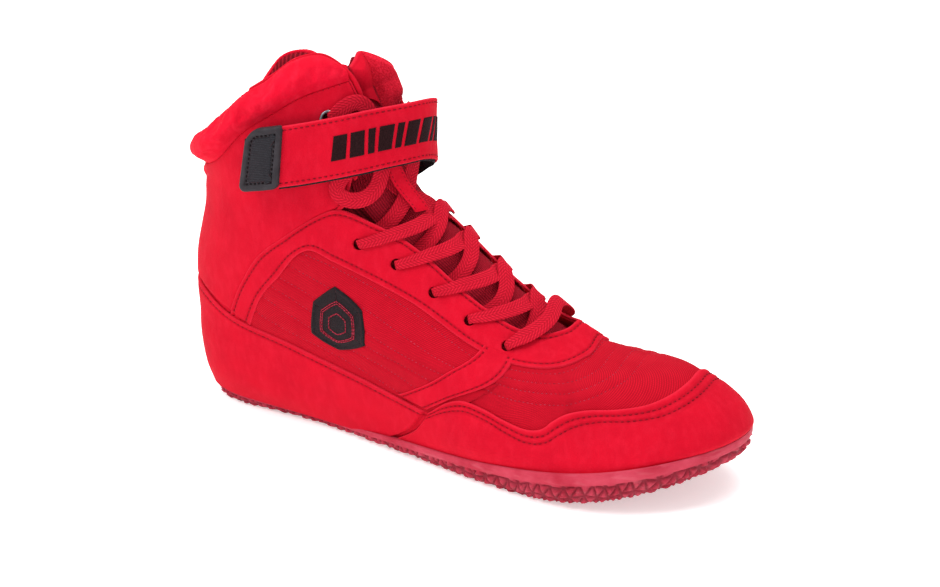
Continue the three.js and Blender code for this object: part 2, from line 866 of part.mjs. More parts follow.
// Tongue: skin, foam and lining below the hinge line, and a softer top above it.
const TONGUE_HINGE_V = 0.885;
const tongueEdge = curve([
  [0.392, 0.365],
  [0.385, 0.42],
  [0.378, 0.5],
  [0.372, 0.56],
  [0.375, 0.64],
  [0.39, 0.72],
  [0.41, 0.79],
  [0.428, 0.85],
  [0.433, TONGUE_HINGE_V - 0.006],
]);
const tongueLower = (inset) => (s, r) => {
  const [edge, v] = tongueEdge(r);
  return [lerp(edge + inset, 1 - edge - inset, s), v];
};
const skinLow = TONGUE_DEPTH - TONGUE_SKIN;
const foamTop = skinLow - 0.5;
const foamLow = foamTop - TONGUE_FOAM;
const liningTop = foamLow - 0.5;
add("tongue_outer", slab(tongueLower(0), 10, 16, TONGUE_DEPTH, skinLow), KNIT);
add("tongue_foam", slab(tongueLower(0.006), 8, 14, foamTop, foamLow), FOAM);
add("tongue_lining", slab(tongueLower(0.004), 8, 14, liningTop, liningTop - 0.8), RIB);

const tongueTopEdge = curve([
  [0.432, 0.948],
  [0.45, 0.972],
  [0.474, 0.96],
  [0.5, 0.935],
  [0.53, 0.915],
  [0.566, 0.9],
]);
const tongueTop = (from, to, drop) => (s, r) => {
  const k = lerp(from, to, s);
  const [u, v] = tongueTopEdge(k);
  return [lerp(lerp(0.434, 0.566, k), u, r), lerp(TONGUE_HINGE_V, v - drop, r)];
};
const swell = (u, v) => TONGUE_DEPTH + 2.6 * Math.sin(Math.PI * clamp((v - 0.87) / 0.11, 0, 1));
const swellLow = (u, v) => swell(u, v) - TONGUE_SKIN;
const swellFoam = (u, v) => swell(u, v) - TONGUE_SKIN - 0.5;
add("tongue_top_panel", slab(tongueTop(0, 0.44, 0), 8, 6, swell, swellLow), SUEDE);
add("tongue_top_band", slab(tongueTop(0.46, 1, 0), 8, 6, swell, swellLow), KNIT);
add("tongue_top_foam", slab(tongueTop(0.03, 0.97, 0.004), 10, 5, swellFoam, foamLow), FOAM);
add("tongue_top_lining", slab(tongueTop(0.02, 0.98, 0.002), 10, 5, liningTop, liningTop - 0.8), RIB);

// A ribbon along points, each with a width direction; the section is a flat rectangle.
function ribbon(stations, thickness) {
  const rings = stations.map(({ at, across, normal, width }) =>
    [
      [-0.5, -0.5],
      [0.5, -0.5],
      [0.5, 0.5],
      [-0.5, 0.5],
    ].map(([a, b]) =>
      at
        .clone()
        .addScaledVector(across, a * width)
        .addScaledVector(normal, b * thickness),
    ),
  );
  return sweep(rings);
}

// Lace keeper: a tab bridging the crossed laces on the tongue.
const KEEPER_U = 0.465;
const KEEPER_PATH = [
  [0.586, TONGUE_DEPTH + 1.2],
  [0.592, TONGUE_DEPTH + 2.2],
  [0.6, -1],
  [0.606, 0.3],
  [0.62, 0.8],
  [0.636, 0.9],
  [0.654, 0.8],
  [0.684, 0.3],
  [0.692, -1],
  [0.7, TONGUE_DEPTH + 2.2],
  [0.706, TONGUE_DEPTH + 1.2],
];
const keeperStations = KEEPER_PATH.map(([v, h], i) => {
  const f = frameAt(KEEPER_U, v);
  const before = point(KEEPER_U, ...KEEPER_PATH[Math.max(0, i - 1)]);
  const after = point(KEEPER_U, ...KEEPER_PATH[Math.min(KEEPER_PATH.length - 1, i + 1)]);
  const heading = after.sub(before).normalize();
  const normal = new THREE.Vector3().crossVectors(f.along, heading).normalize();
  return { at: point(KEEPER_U, v, h), across: f.along, normal, width: 5.6 };
});
add("lace_keeper", ribbon(keeperStations, 1.2), SUEDE);

// Lace: one flat lace in a criss-cross. Over the tongue the lateral strand lies on the medial one.
const UNDER = -5.9;
const OVER = 1.4;
const LOW_CROSS = -5.1;
const HIGH_CROSS = -2.4;
const NARROW = LACE_WIDTH * 0.58;
const THROAT_V = [0.4, 0.42, 0.456, 0.49, 0.52, 0.555, 0.582, 0.61, 0.67, 0.73, 0.79, 0.85];
const THROAT_U = [0.43, 0.4, 0.389, 0.384, 0.381, 0.372, 0.357, 0.34, 0.362, 0.385, 0.404, 0.417];
const eyelet = (k, medial) => {
  if (k === EYELETS.length) return TOP_EYELET[medial ? "medial" : "lateral"];
  const [u, v] = EYELETS[k];
  return medial ? [1 - u, v] : [u, v];
};
const spanOf = (a, b) => point(...a, 0).distanceTo(point(...b, 0));
const between = (a, b, t) => [lerp(a[0], b[0], t), lerp(a[1], b[1], t)];
// How far along from one (u, v) to another the edge of the facing is passed.
function edgeDistance(from, to) {
  const span = spanOf(from, to);
  for (let t = 0; t < 1; t += 0.02) {
    const [u, v] = between(from, to, t);
    if (Math.min(u, 1 - u) > interpolate(THROAT_V, THROAT_U, v)) return t * span;
  }
  return span * 0.5;
}
// Stations along from, hub and to, with depths and widths given at distances.
function route(from, hub, to, keys) {
  const first = spanOf(from, hub);
  const total = first + spanOf(hub, to);
  const stations = [];
  keys.forEach(([distance, h, width], i) => {
    const [before, h0, width0] = keys[Math.max(0, i - 1)];
    const parts = Math.max(1, Math.ceil((distance - before) / 4.2));
    for (let k = i === 0 ? parts : 1; k <= parts; k += 1) {
      const t = k / parts;
      const d = lerp(before, distance, t);
      const uv = d < first ? between(from, hub, d / first) : between(hub, to, (d - first) / (total - first));
      stations.push({ uv, h: lerp(h0, h, t), width: lerp(width0, width, t) });
    }
  });
  return stations;
}
// From an eyelet's upper or lower side, over the tongue, to the far eyelet's lower side.
function strand(from, to, hub, startUnder, cross) {
  const first = spanOf(from, hub);
  const total = first + spanOf(hub, to);
  const leaving = Math.max(6, edgeDistance(from, hub) + 1.5);
  const arriving = total - Math.max(6, edgeDistance(to, hub) + 1);
  const start = startUnder ? UNDER : OVER;
  return route(from, hub, to, [
    [0, startUnder ? -4.4 : -0.7, NARROW],
    [1.3, startUnder ? -5.7 : 0.9, NARROW],
    [4.8, start, LACE_WIDTH],
    [leaving, start, LACE_WIDTH],
    [first - 6, cross, LACE_WIDTH],
    [first + 6, cross, LACE_WIDTH],
    [arriving, UNDER, LACE_WIDTH],
    [total - 4.8, UNDER, LACE_WIDTH],
    [total - 1.3, -5.7, NARROW],
    [total, -4.4, NARROW],
  ]);
}
// The lace half that starts at one of the two toe-end eyelets and climbs.
function laceHalf(medial) {
  const run = [];
  for (let k = 0; k < EYELETS.length; k += 1) {
    const onMedial = medial === (k % 2 === 0);
    const from = eyelet(k, onMedial);
    const to = eyelet(k + 1, !onMedial);
    const level = (from[1] + to[1]) / 2 + (k === 0 ? 0.022 : 0);
    const hub = k === EYELETS.length - 1 ? [KEEPER_U, 0.627] : [0.5, level];
    run.push(...strand(from, to, hub, k === 0, onMedial ? LOW_CROSS : HIGH_CROSS));
  }
  return run;
}
// A free end from a top eyelet, tucked flat under the strap.
function laceEnd(medial) {
  const from = eyelet(EYELETS.length, medial);
  const hub = medial ? [0.585, 0.775] : [0.42, 0.858];
  const to = medial ? [0.535, 0.772] : [0.487, 0.84];
  const total = spanOf(from, hub) + spanOf(hub, to);
  return route(from, hub, to, [
    [0, -0.7, NARROW],
    [1.2, 1.5, NARROW],
    [5.5, 2.1, LACE_WIDTH],
    [total, 2.1, LACE_WIDTH],
  ]);
}
const BAR_HUB = [0.5, 0.408];
const BAR_TOTAL = spanOf(eyelet(0, false), BAR_HUB) + spanOf(BAR_HUB, eyelet(0, true));
const bar = route(eyelet(0, false), BAR_HUB, eyelet(0, true), [
  [0, -0.7, NARROW],
  [1.3, 0.9, NARROW],
  [5, 1.8, LACE_WIDTH],
  [BAR_TOTAL - 5, 1.8, LACE_WIDTH],
  [BAR_TOTAL - 1.3, 0.9, NARROW],
  [BAR_TOTAL, -0.7, NARROW],
]);
const laceRun = [
  ...laceEnd(true).reverse(),
  ...laceHalf(false).reverse(),
  ...bar,
  ...laceHalf(true),
  ...laceEnd(false),
];
function laceStations(run) {
  const places = run.map(({ uv, h }) => point(...uv, h));
  let across = null;
  return run.map(({ uv, width }, i) => {
    const next = places[Math.min(run.length - 1, i + 1)];
    const heading = next.clone().sub(places[Math.max(0, i - 1)]).normalize();
    const flat = new THREE.Vector3().crossVectors(frameAt(...uv).out, heading);
    const trust = flat.length();
    if (across && flat.dot(across) < 0) flat.negate();
    if (across) flat.addScaledVector(across, 1 - trust + 0.05);
    flat.addScaledVector(heading, -flat.dot(heading)).normalize();
    across = flat.clone();
    const normal = new THREE.Vector3().crossVectors(heading, across).normalize();
    return { at: places[i], across, normal, width };
  });
}
add("lace", ribbon(laceStations(laceRun), LACE_THICKNESS), WEBBING);

// Metal rings of the two top eyelets.
SIDES.forEach(([name]) => {
  const f = frameAt(...TOP_EYELET[name]);
  const profile = [
    [3.1, 0.3],
    [4.6, 0.3],
    [4.4, 0.6],
    [3.3, 0.6],
    [3.1, 0.3],
  ].map(([r, y]) => new THREE.Vector2(r, y));
  const ring = new THREE.LatheGeometry(profile, 16);
  const turn = new THREE.Quaternion().setFromUnitVectors(new THREE.Vector3(0, 1, 0), f.out);
  ring.applyQuaternion(turn);
  ring.translate(f.at.x, f.at.y, f.at.z);
  add("top_eyelet_" + name, ring, METAL);
});

// Ankle strap: sewn to the medial side, round the front, hook tape over the lateral ankle.
const STRAP_PATH = [
  [0.238, 0.803, 4.7],
  [0.27, 0.792, 4.7],
  [0.305, 0.779, 4.7],
  [0.34, 0.767, 5],
  [0.38, 0.755, 6],
  [0.42, 0.745, 8],
  [0.46, 0.734, 9.2],
  [0.5, 0.726, 9.6],
  [0.54, 0.719, 9.2],
  [0.58, 0.71, 8.2],
  [0.62, 0.702, 6.8],
  [0.66, 0.685, 5.2],
  [0.7, 0.672, 4.2],
  [0.74, 0.634, 3.5],
  [0.77, 0.6, 3],
];
const strapCurve = new THREE.CatmullRomCurve3(STRAP_PATH.map(([u, v, h]) => point(u, v, h)));
function strapStations(from, to, steps, width, lift = 0) {
  const stations = [];
  const up = new THREE.Vector3(0, 0, 1);
  for (let i = 0; i <= steps; i += 1) {
    const t = lerp(from, to, i / steps);
    const heading = strapCurve.getTangent(t);
    const normal = new THREE.Vector3().crossVectors(heading, up).normalize();
    const across = new THREE.Vector3().crossVectors(normal, heading).normalize();
    across.addScaledVector(heading, STRAP_SKEW * (1 - smooth(t / 0.35)));
    const at = strapCurve.getPoint(t).addScaledVector(normal, lift);
    stations.push({ at, across, normal, width });
  }
  return stations;
}
const PEEL_AT = 6 / 14;
const WRAP_AT = 9 / 14;
const strapPiece = (from, to, steps) =>
  ribbon(strapStations(from, to, steps, STRAP_WIDTH), STRAP_THICKNESS);
add("strap_flap", strapPiece(0.06, PEEL_AT - 0.003, 14), SUEDE);
add("strap_front", strapPiece(PEEL_AT + 0.003, WRAP_AT - 0.003, 10), SUEDE);
add("strap_base", strapPiece(WRAP_AT + 0.003, 1, 14), SUEDE);
const tabStations = strapStations(0.0, 0.115, 4, STRAP_WIDTH + 0.6, STRAP_THICKNESS / 2 + 0.9 + 0.3);
add("strap_tab", ribbon(tabStations, 1.8), MOULDED);
const hookDrop = -(STRAP_THICKNESS / 2 + 0.3 + 0.4);
add("hook_patch", ribbon(strapStations(0.065, 0.3, 8, STRAP_WIDTH - 4, hookDrop), 0.8), HOOK_TAPE);
const loopPatch = coons(
  curve([
    [0.222, 0.742],
    [0.27, 0.732],
    [0.31, 0.722],
  ]),
  curve([
    [0.235, 0.862],
    [0.28, 0.845],
    [0.32, 0.826],
  ]),
  (r) => [lerp(0.222, 0.235, r), lerp(0.742, 0.862, r)],
  (r) => [lerp(0.31, 0.32, r), lerp(0.722, 0.826, r)],
);
add("loop_patch", slab(loopPatch, 8, 6, 1.5, 0.5), HOOK_TAPE);

// Embroidered patch on the lateral mesh: a plain rounded hexagon.
const EMBLEM_AT = [0.236, 0.392];
const EMBLEM_RADIUS = 15;
function emblem() {
  const f = frameAt(...EMBLEM_AT);
  const perU = last(EMBLEM_AT[0] + 0.005, EMBLEM_AT[1]).distanceTo(f.at) / 0.005;
  const perV = last(EMBLEM_AT[0], EMBLEM_AT[1] + 0.01).distanceTo(f.at) / 0.01;
  const rings = [0.34, 0.67, 1].map((share) => {
    const ring = [];
    for (let k = 0; k < 24; k += 1) {
      const a = (k * Math.PI) / 12;
      const corner = Math.cos(Math.PI / 6) / Math.cos(((a + Math.PI / 6) % (Math.PI / 3)) - Math.PI / 6);
      const r = EMBLEM_RADIUS * share * lerp(1, corner, 0.7);
      ring.push([EMBLEM_AT[0] + (r * Math.cos(a)) / perU, EMBLEM_AT[1] + (r * Math.sin(a)) / perV]);
    }
    return ring;
  });
  const lift = (ring, h) => ring.map(([u, v]) => point(u, v, h));
  const high = MESH_DEPTH + 1.6;
  const low = MESH_DEPTH + 0.6;
  return sweep([
    lift(rings[0], high),
    lift(rings[1], high),
    lift(rings[2], high),
    lift(rings[2], low),
    lift(rings[1], low),
    lift(rings[0], low),
  ]);
}
add("emblem_patch", emblem(), THREAD);

// Put the origin at the middle of the footprint, on the ground.
const box = new THREE.Box3().setFromObject(boot, true);
const middle = box.getCenter(new THREE.Vector3());
boot.children.forEach((mesh) => mesh.geometry.translate(-middle.x, -middle.y, -box.min.z));

export default boot;
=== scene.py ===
"""High boxing boot, right foot: the visible surfaces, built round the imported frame.

Sizes are millimetres until a mesh is made. +X is the toe, -Y the outer side, +Z up.
Every panel lies on one last surface, read with u (round the foot) and v (up from the sole).
"""

import bpy
import numpy as np
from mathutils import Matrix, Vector


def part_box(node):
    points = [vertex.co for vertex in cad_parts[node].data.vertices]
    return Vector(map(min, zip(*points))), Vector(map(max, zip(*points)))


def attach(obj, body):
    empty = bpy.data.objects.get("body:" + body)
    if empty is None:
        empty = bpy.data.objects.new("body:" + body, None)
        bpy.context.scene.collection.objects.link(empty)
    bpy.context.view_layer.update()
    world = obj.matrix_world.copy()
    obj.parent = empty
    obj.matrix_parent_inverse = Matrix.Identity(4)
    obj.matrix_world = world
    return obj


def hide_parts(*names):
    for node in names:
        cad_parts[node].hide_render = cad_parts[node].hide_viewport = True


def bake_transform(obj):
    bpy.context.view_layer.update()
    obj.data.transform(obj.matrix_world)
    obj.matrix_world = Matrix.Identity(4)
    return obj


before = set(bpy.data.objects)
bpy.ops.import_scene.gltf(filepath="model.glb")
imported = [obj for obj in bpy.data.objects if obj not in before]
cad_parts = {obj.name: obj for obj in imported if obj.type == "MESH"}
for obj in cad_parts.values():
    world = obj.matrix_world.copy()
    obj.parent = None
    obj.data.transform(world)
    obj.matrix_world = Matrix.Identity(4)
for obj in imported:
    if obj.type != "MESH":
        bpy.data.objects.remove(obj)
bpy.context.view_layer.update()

MM = 0.001

# ---------------------------------------------------------------- the last
WIDTH_AT = [0, 0.15, 0.4, 0.65, 0.85, 1]
# back x, back z, front x, front z, mid-height bow, centre y back and front, lateral and medial widths
LOOPS = np.array([
    [3, 8, 281, 27, -11, 0, 6, 50, 32, 32, 50, 68, 67, 54, 40, 30, 42, 52, 66],
    [0, 19, 284, 33, -10, 0, 6, 57, 40, 34, 53, 64, 70, 58, 44, 33, 45, 48, 58],
    [-2, 34, 276, 45, -10, 0, 6, 59, 43, 36, 49, 56, 64, 60, 44, 35, 44, 41, 42],
    [-2, 47, 254, 56, -9, 0, 6, 56, 43, 36, 45, 51, 52, 56, 42, 35, 41, 32, 27],
    [-3, 60, 217, 61, -6, 0, 4, 50, 43, 36, 40, 41, 40, 50, 41, 35, 38, 27, 19],
    [-2, 75, 184, 78, -3, 0, 3, 45, 42, 36, 35, 34, 33, 44, 40, 35, 34, 27, 19],
    [1, 89, 149, 102, -1, 0, 2, 39, 40, 37, 34, 32, 31, 38, 38, 35, 33, 29, 25],
    [4, 101, 122, 124, -2, 0, 1, 35, 37, 37, 35, 33, 31, 35, 36, 36, 34, 32, 29],
    [5, 111, 114, 145, -3, 0, 0, 35, 37, 38, 37, 35, 33, 35, 36, 37, 35, 34, 32],
    [6, 121, 107, 160, -2, 0, 0, 37, 39, 39, 38, 36, 34, 37, 38, 37, 35, 34, 33],
    [8, 131, 101, 174, 0, 0, 0, 36, 38, 38, 37, 35, 33, 36, 37, 35, 33, 32, 31],
    [10, 141, 96, 188, 0, 0, 0, 36, 37, 37, 36, 34, 33, 36, 36, 34, 32, 31, 31],
], float)
LOOP_AT = np.linspace(0, 1, len(LOOPS))


def basis(knots, s):
    """Weights of values at knots that interpolate them smoothly at each s."""
    k = np.asarray(knots, float)
    n = len(k)
    slope = (np.eye(n)[1:] - np.eye(n)[:-1]) / np.diff(k)[:, None]
    tangent = np.vstack([slope[:1], np.zeros((n - 2, n)), slope[-1:]])
    before, after = np.diff(k)[:-1, None], np.diff(k)[1:, None]
    tangent[1:-1] = (slope[:-1] * after + slope[1:] * before) / (before + after)
    i = np.clip(np.searchsorted(k, s, side="right") - 1, 0, n - 2)
    step = (k[i + 1] - k[i])[:, None]
    w = (np.asarray(s, float)[:, None] - k[i][:, None]) / step
    w2, w3, value = w * w, w**3, np.eye(n)
    return ((2 * w3 - 3 * w2 + 1) * value[i] + (w3 - 2 * w2 + w) * step * tangent[i]
            + (3 * w2 - 2 * w3) * value[i + 1] + (w3 - w2) * step * tangent[i + 1])


def spread(knots, values, s):
    s = np.asarray(s, float)
    return (basis(knots, s.ravel()) @ np.asarray(values, float)).reshape(s.shape)


def raw_last(u, v):
    u, v = np.broadcast_arrays(np.asarray(u, float), np.asarray(v, float))
    flat_u, p = u.ravel(), basis(LOOP_AT, v.ravel()) @ LOOPS
    t, s = (1 - np.cos(2 * np.pi * flat_u)) / 2, np.sin(2 * np.pi * flat_u)
    share = basis(WIDTH_AT, t)
    width = np.where(s >= 0, (share * p[:, 7:13]).sum(1), (share * p[:, 13:19]).sum(1))
    x = p[:, 0] + (p[:, 2] - p[:, 0]) * t
    y = p[:, 5] + (p[:, 6] - p[:, 5]) * t * t - width * s
    z = p[:, 1] + (p[:, 3] - p[:, 1]) * t + p[:, 4] * 4 * t * (1 - t)
    return np.stack([x, y, z], -1).reshape(*u.shape, 3)


ORIGIN = np.zeros(3)


def last(u, v):
    return raw_last(u, v) - ORIGIN


def unit(a):
    return a / np.maximum(np.linalg.norm(a, axis=-1, keepdims=True), 1e-9)


def frame_at(u, v):
    """Directions along u, along v and outward."""
    d = 0.002
    along = unit(last(np.add(u, d), v) - last(np.subtract(u, d), v))
    up = unit(last(u, np.add(v, d)) - last(u, np.subtract(v, d)))
    return along, up, unit(np.cross(along, up))


def point(u, v, h):
    return last(u, v) + frame_at(u, v)[2] * np.asarray(h, float)[..., None]


def smooth(x):
    t = np.clip(x, 0, 1)
    return t * t * (3 - 2 * t)


def lerp(a, b, t):
    return a + (b - a) * t


def travelled(points):
    """The distance run along the points, from 0."""
    return np.concatenate([[0], np.cumsum(np.linalg.norm(np.diff(points, axis=0), axis=1))])


def full_turn(count):
    """Even angles round a circle."""
    return np.linspace(0, 2 * np.pi, count + 1)[:-1]


# ---------------------------------------------------------------- curves and patches over (u, v)
def curve(points):
    """A smooth line through (u, v) points, carried straight on past its ends."""
    p = np.array(points, float)
    n = len(p)

    def at(s):
        x = np.asarray(s, float) * (n - 1)
        i = np.clip(np.floor(x).astype(int), 0, n - 2)
        w = (np.clip(x, 0, n - 1) - i)[..., None]
        a, b = p[i], p[i + 1]
        v0, v1 = (b - p[np.maximum(i - 1, 0)]) / 2, (p[np.minimum(i + 2, n - 1)] - a) / 2
        inside = ((2 * a - 2 * b + v0 + v1) * w**3 + (-3 * a + 3 * b - 2 * v0 - v1) * w**2 + v0 * w + a)
        past = (x - np.clip(x, 0, n - 1))[..., None]
        return inside + np.where(past < 0, (p[1] - p[0]) * past, (p[-1] - p[-2]) * past)

    return at


def mirrored(points):
    return [[1 - u, v] for u, v in points]


def side(points, medial):
    return curve(mirrored(points) if medial else points)


def wrap(points):
    return curve(points + mirrored(points)[::-1][1:])


def heel_wrap(points):
    return curve(points[::-1] + [[-u, v] for u, v in points[1:]])


def ruled(a, b):
    return lambda s, r: lerp(a(s), b(s), np.asarray(r, float)[..., None])


def coons(bottom, top, left, right):
    def at(s, r):
        s1, r1 = np.asarray(s, float)[..., None], np.asarray(r, float)[..., None]
        start, end = np.array(0.0), np.array(1.0)
        c00, c10, c01, c11 = bottom(start), bottom(end), top(start), top(end)
        return (lerp(bottom(s), top(s), r1) + lerp(left(r), right(r), s1)
                - lerp(lerp(c00, c10, s1), lerp(c01, c11, s1), r1))
    return at


def line(u0, v0, u1, v1):
    return curve([[u0, v0], [u1, v1]])


# ---------------------------------------------------------------- outlines of the pieces, outer side
FOXING_TOP = [[0, 0.375], [0.05, 0.372], [0.09, 0.358], [0.126, 0.316], [0.166, 0.288], [0.191, 0.258],
              [0.215, 0.225], [0.237, 0.19], [0.256, 0.165]]
FOXING_BOTTOM = [[0, 0.008], [0.03, 0.006], [0.065, 0.005], [0.1, 0.005], [0.13, 0.005], [0.158, 0.005],
                 [0.182, 0.005], [0.205, 0.005], [0.225, 0.005]]
TOE_TOP = [[0.26, 0.168], [0.275, 0.208], [0.289, 0.226], [0.3, 0.212], [0.309, 0.188], [0.32, 0.168],
           [0.33, 0.17], [0.34, 0.192], [0.352, 0.211], [0.368, 0.22], [0.388, 0.218], [0.412, 0.221],
           [0.44, 0.234], [0.47, 0.248], [0.5, 0.256]]
TOE_BOTTOM = [[u, 0.005] for u in (0.229, 0.248, 0.266, 0.282, 0.297, 0.312, 0.327, 0.343, 0.36, 0.38,
                                   0.402, 0.426, 0.45, 0.475, 0.5)]
FACING_INNER = [[0.128, 0.34], [0.155, 0.43], [0.192, 0.51], [0.249, 0.573], [0.297, 0.61], [0.331, 0.618],
                [0.357, 0.582], [0.372, 0.555], [0.381, 0.52], [0.384, 0.49], [0.389, 0.456], [0.4, 0.42],
                [0.42, 0.403], [0.455, 0.404], [0.5, 0.41]]
FACING_OUTER = [[0.142, 0.306], [0.174, 0.412], [0.208, 0.478], [0.236, 0.52], [0.26, 0.538], [0.277, 0.519],
                [0.294, 0.5], [0.31, 0.48], [0.325, 0.456], [0.336, 0.425], [0.348, 0.385], [0.365, 0.35],
                [0.392, 0.338], [0.44, 0.356], [0.5, 0.376]]
STRIP_REAR = [[0.241, 0.196], [0.266, 0.248], [0.302, 0.314], [0.342, 0.366], [0.36, 0.39]]
STRIP_FRONT = [[0.257, 0.173], [0.283, 0.231], [0.318, 0.283], [0.355, 0.339], [0.372, 0.364]]
MESH_LEFT = [[0.134, 0.302], [0.166, 0.42], [0.2, 0.488], [0.252, 0.55]]
MESH_TOP = [[0.252, 0.55], [0.285, 0.524], [0.316, 0.49], [0.34, 0.44], [0.354, 0.376]]
MESH_RIGHT = [[0.244, 0.18], [0.272, 0.238], [0.308, 0.303], [0.354, 0.376]]
MESH_BOTTOM = [[0.134, 0.302], [0.17, 0.274], [0.2, 0.238], [0.225, 0.204], [0.244, 0.18]]
VAMP_LOW = [[0.235, 0.152], [0.26, 0.166], [0.284, 0.206], [0.302, 0.19], [0.318, 0.156], [0.332, 0.158],
            [0.35, 0.196], [0.372, 0.208], [0.405, 0.21], [0.45, 0.23], [0.5, 0.244]]
VAMP_HIGH = [[0.35, 0.352], [0.362, 0.36], [0.37, 0.36], [0.376, 0.356], [0.383, 0.352], [0.394, 0.35],
             [0.41, 0.354], [0.435, 0.366], [0.466, 0.38], [0.5, 0.386]]
COLLAR_SEAM = {
    "lateral": [[0, 0.818], [0.05, 0.814], [0.1, 0.816], [0.163, 0.83], [0.224, 0.89], [0.273, 0.91],
                [0.326, 0.928], [0.378, 0.925], [0.412, 0.92]],
    "medial": [[1, 0.818], [0.95, 0.826], [0.912, 0.85], [0.86, 0.91], [0.8, 0.925], [0.74, 0.875],
               [0.68, 0.835], [0.62, 0.815], [0.588, 0.81]],
}
SHAFT_LOW = [[0.133, 0.334], [0.159, 0.421], [0.196, 0.501], [0.252, 0.565], [0.3, 0.605], [0.337, 0.627]]
SHAFT_FRONT = {
    "lateral": SHAFT_LOW + [[0.362, 0.67], [0.385, 0.73], [0.404, 0.79], [0.417, 0.85], [0.412, 0.915]],
    "medial": mirrored(SHAFT_LOW) + [[0.638, 0.66], [0.617, 0.7], [0.6, 0.735], [0.588, 0.77],
                                     [0.588, 0.805]],
}
ACHILLES_HALF = 0.075
EYELETS = [[0.377, 0.386], [0.364, 0.43], [0.353, 0.474], [0.339, 0.516], [0.317, 0.55]]
TOP_EYELET = {"lateral": [0.363, 0.835], "medial": [0.637, 0.76]}
SIDES = (("lateral", False), ("medial", True))

# The last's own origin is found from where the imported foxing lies.
foxing_patch = ruled(heel_wrap(FOXING_BOTTOM), heel_wrap(FOXING_TOP))
packed_uv = foxing_patch(*np.meshgrid(np.linspace(0, 1, 37), np.linspace(0, 1, 5), indexing="ij"))
packed = [point(packed_uv[..., 0], packed_uv[..., 1], depth).reshape(-1, 3) for depth in (0.0, -1.4)]
ORIGIN = np.concatenate(packed).min(0) - np.array(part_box("foxing")[0]) / MM


# ---------------------------------------------------------------- meshes
def link(name, mesh, material, body, slot, replaces=()):
    piece = bpy.data.objects.new(name, mesh)
    bpy.context.scene.collection.objects.link(piece)
    mesh.materials.append(material)
    if body:
        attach(piece, body)
    if replaces:
        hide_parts(*replaces)
    return piece


def make_mesh(name, vertices, quads, triangles=(), **attributes):
    """A smooth-shaded mesh, facing out, with its vertex attributes."""
    vertices = np.asarray(vertices, float)
    faces = [np.asarray(f, int).reshape(-1, k) for f, k in ((quads, 4), (triangles, 3))]
    volume = sum((vertices[f[:, 0]] * np.cross(vertices[f[:, k]], vertices[f[:, k + 1]])).sum()
                 for f in faces for k in range(1, f.shape[1] - 1) if len(f))
    if volume < 0:
        faces = [f[:, ::-1] for f in faces]
    mesh = bpy.data.meshes.new(name)
    mesh.from_pydata((vertices * MM).tolist(), [], [f.tolist() for g in faces for f in g])
    mesh.polygons.foreach_set("use_smooth", np.ones(len(mesh.polygons), bool))
    for key, value in attributes.items():
        value = np.asarray(value, np.float32)
        kind = "FLOAT_VECTOR" if value.ndim == 2 else "FLOAT"
        field = "vector" if value.ndim == 2 else "value"
        mesh.attributes.new(key, kind, "POINT").data.foreach_set(field, value.ravel())
    mesh.update()
    return mesh


def slab_faces(ni, nj):
    """Faces of a closed slab whose upper grid of points is followed by its lower one."""
    i = np.arange(ni * nj).reshape(ni, nj)
    upper = np.stack([i[:-1, :-1], i[1:, :-1], i[1:, 1:], i[:-1, 1:]], -1).reshape(-1, 4)
    rim = np.concatenate([i[:-1, 0], i[-1, :-1], i[:0:-1, -1], i[0, :0:-1]])
    after = np.roll(rim, -1)
    wall = np.stack([after, rim, rim + ni * nj, after + ni * nj], -1)
    return np.concatenate([upper, upper[:, ::-1] + ni * nj, wall])


def shell(name, top, low, thread=None, edge=None, seam=None):
    """A closed solid between two grids of points with the same shape."""
    quads = slab_faces(*top.shape[:2])
    vertices = np.concatenate([top.reshape(-1, 3), low.reshape(-1, 3)])
    extra = {}
    if thread is not None:
        flat = np.concatenate([thread.reshape(-1, 2)] * 2)
        extra["thread"] = np.column_stack([flat, np.zeros(len(flat))])
    if edge is not None:
        extra["edge"] = np.concatenate([edge.ravel(), np.ones(edge.size)])
    if seam is not None:
        extra["seam"] = np.concatenate([seam.ravel(), np.zeros(seam.size)])
    return make_mesh(name, vertices, quads, **extra)


def sweep(name, rings, thread=None, edge=None):
    """A closed solid from rings of points, capped at both ends."""
    rings = np.asarray(rings)
    n, m = rings.shape[:2]
    i = np.arange(n * m).reshape(n, m)
    j = np.roll(i, -1, 1)
    quads = np.stack([i[:-1], j[:-1], j[1:], i[1:]], -1).reshape(-1, 4)
    ends = n * m + np.arange(2)
    caps = np.concatenate([np.stack([np.full(m, ends[0]), j[0], i[0]], -1),
                           np.stack([np.full(m, ends[1]), i[-1], j[-1]], -1)])
    vertices = np.concatenate([rings.reshape(-1, 3), rings[[0, -1]].mean(1)])
    extra = {}
    if thread is not None:
        flat = np.concatenate([thread.reshape(-1, 2), np.zeros((2, 2))])
        extra["thread"] = np.column_stack([flat, np.zeros(len(flat))])
    if edge is not None:
        extra["edge"] = np.concatenate([edge.ravel(), [0, 0]])
    return make_mesh(name, vertices, quads, caps, **extra)


def undulate(points, wavelength, seed, waves=7):
    """A smooth uneven field over space, about -1 to 1."""
    rng = np.random.default_rng(seed)
    total = np.zeros(points.shape[:-1])
    for _ in range(waves):
        direction = unit(rng.normal(size=3))
        length = wavelength * rng.uniform(0.7, 1.5)
        total += np.sin(points @ direction * 2 * np.pi / length + rng.uniform(0, 6.3))
    return total / np.sqrt(waves) / 1.4


# ---------------------------------------------------------------- panels sewn on the last
THICKNESS = 1.4
ROLL = 1.15
RIB_PITCH = 2.9
CUT_STEPS = np.array([0, 0.12, 0.35, 0.7, 1.1, 1.45, 1.8, 2.15, 2.5, 2.9, 3.4, 3.8, 4.2, 4.6, 5.1])
TUCK_STEPS = np.array([-1, -0.5, 0, 0.5, 1.0, 1.5, 2.0, 2.6, 3.4])


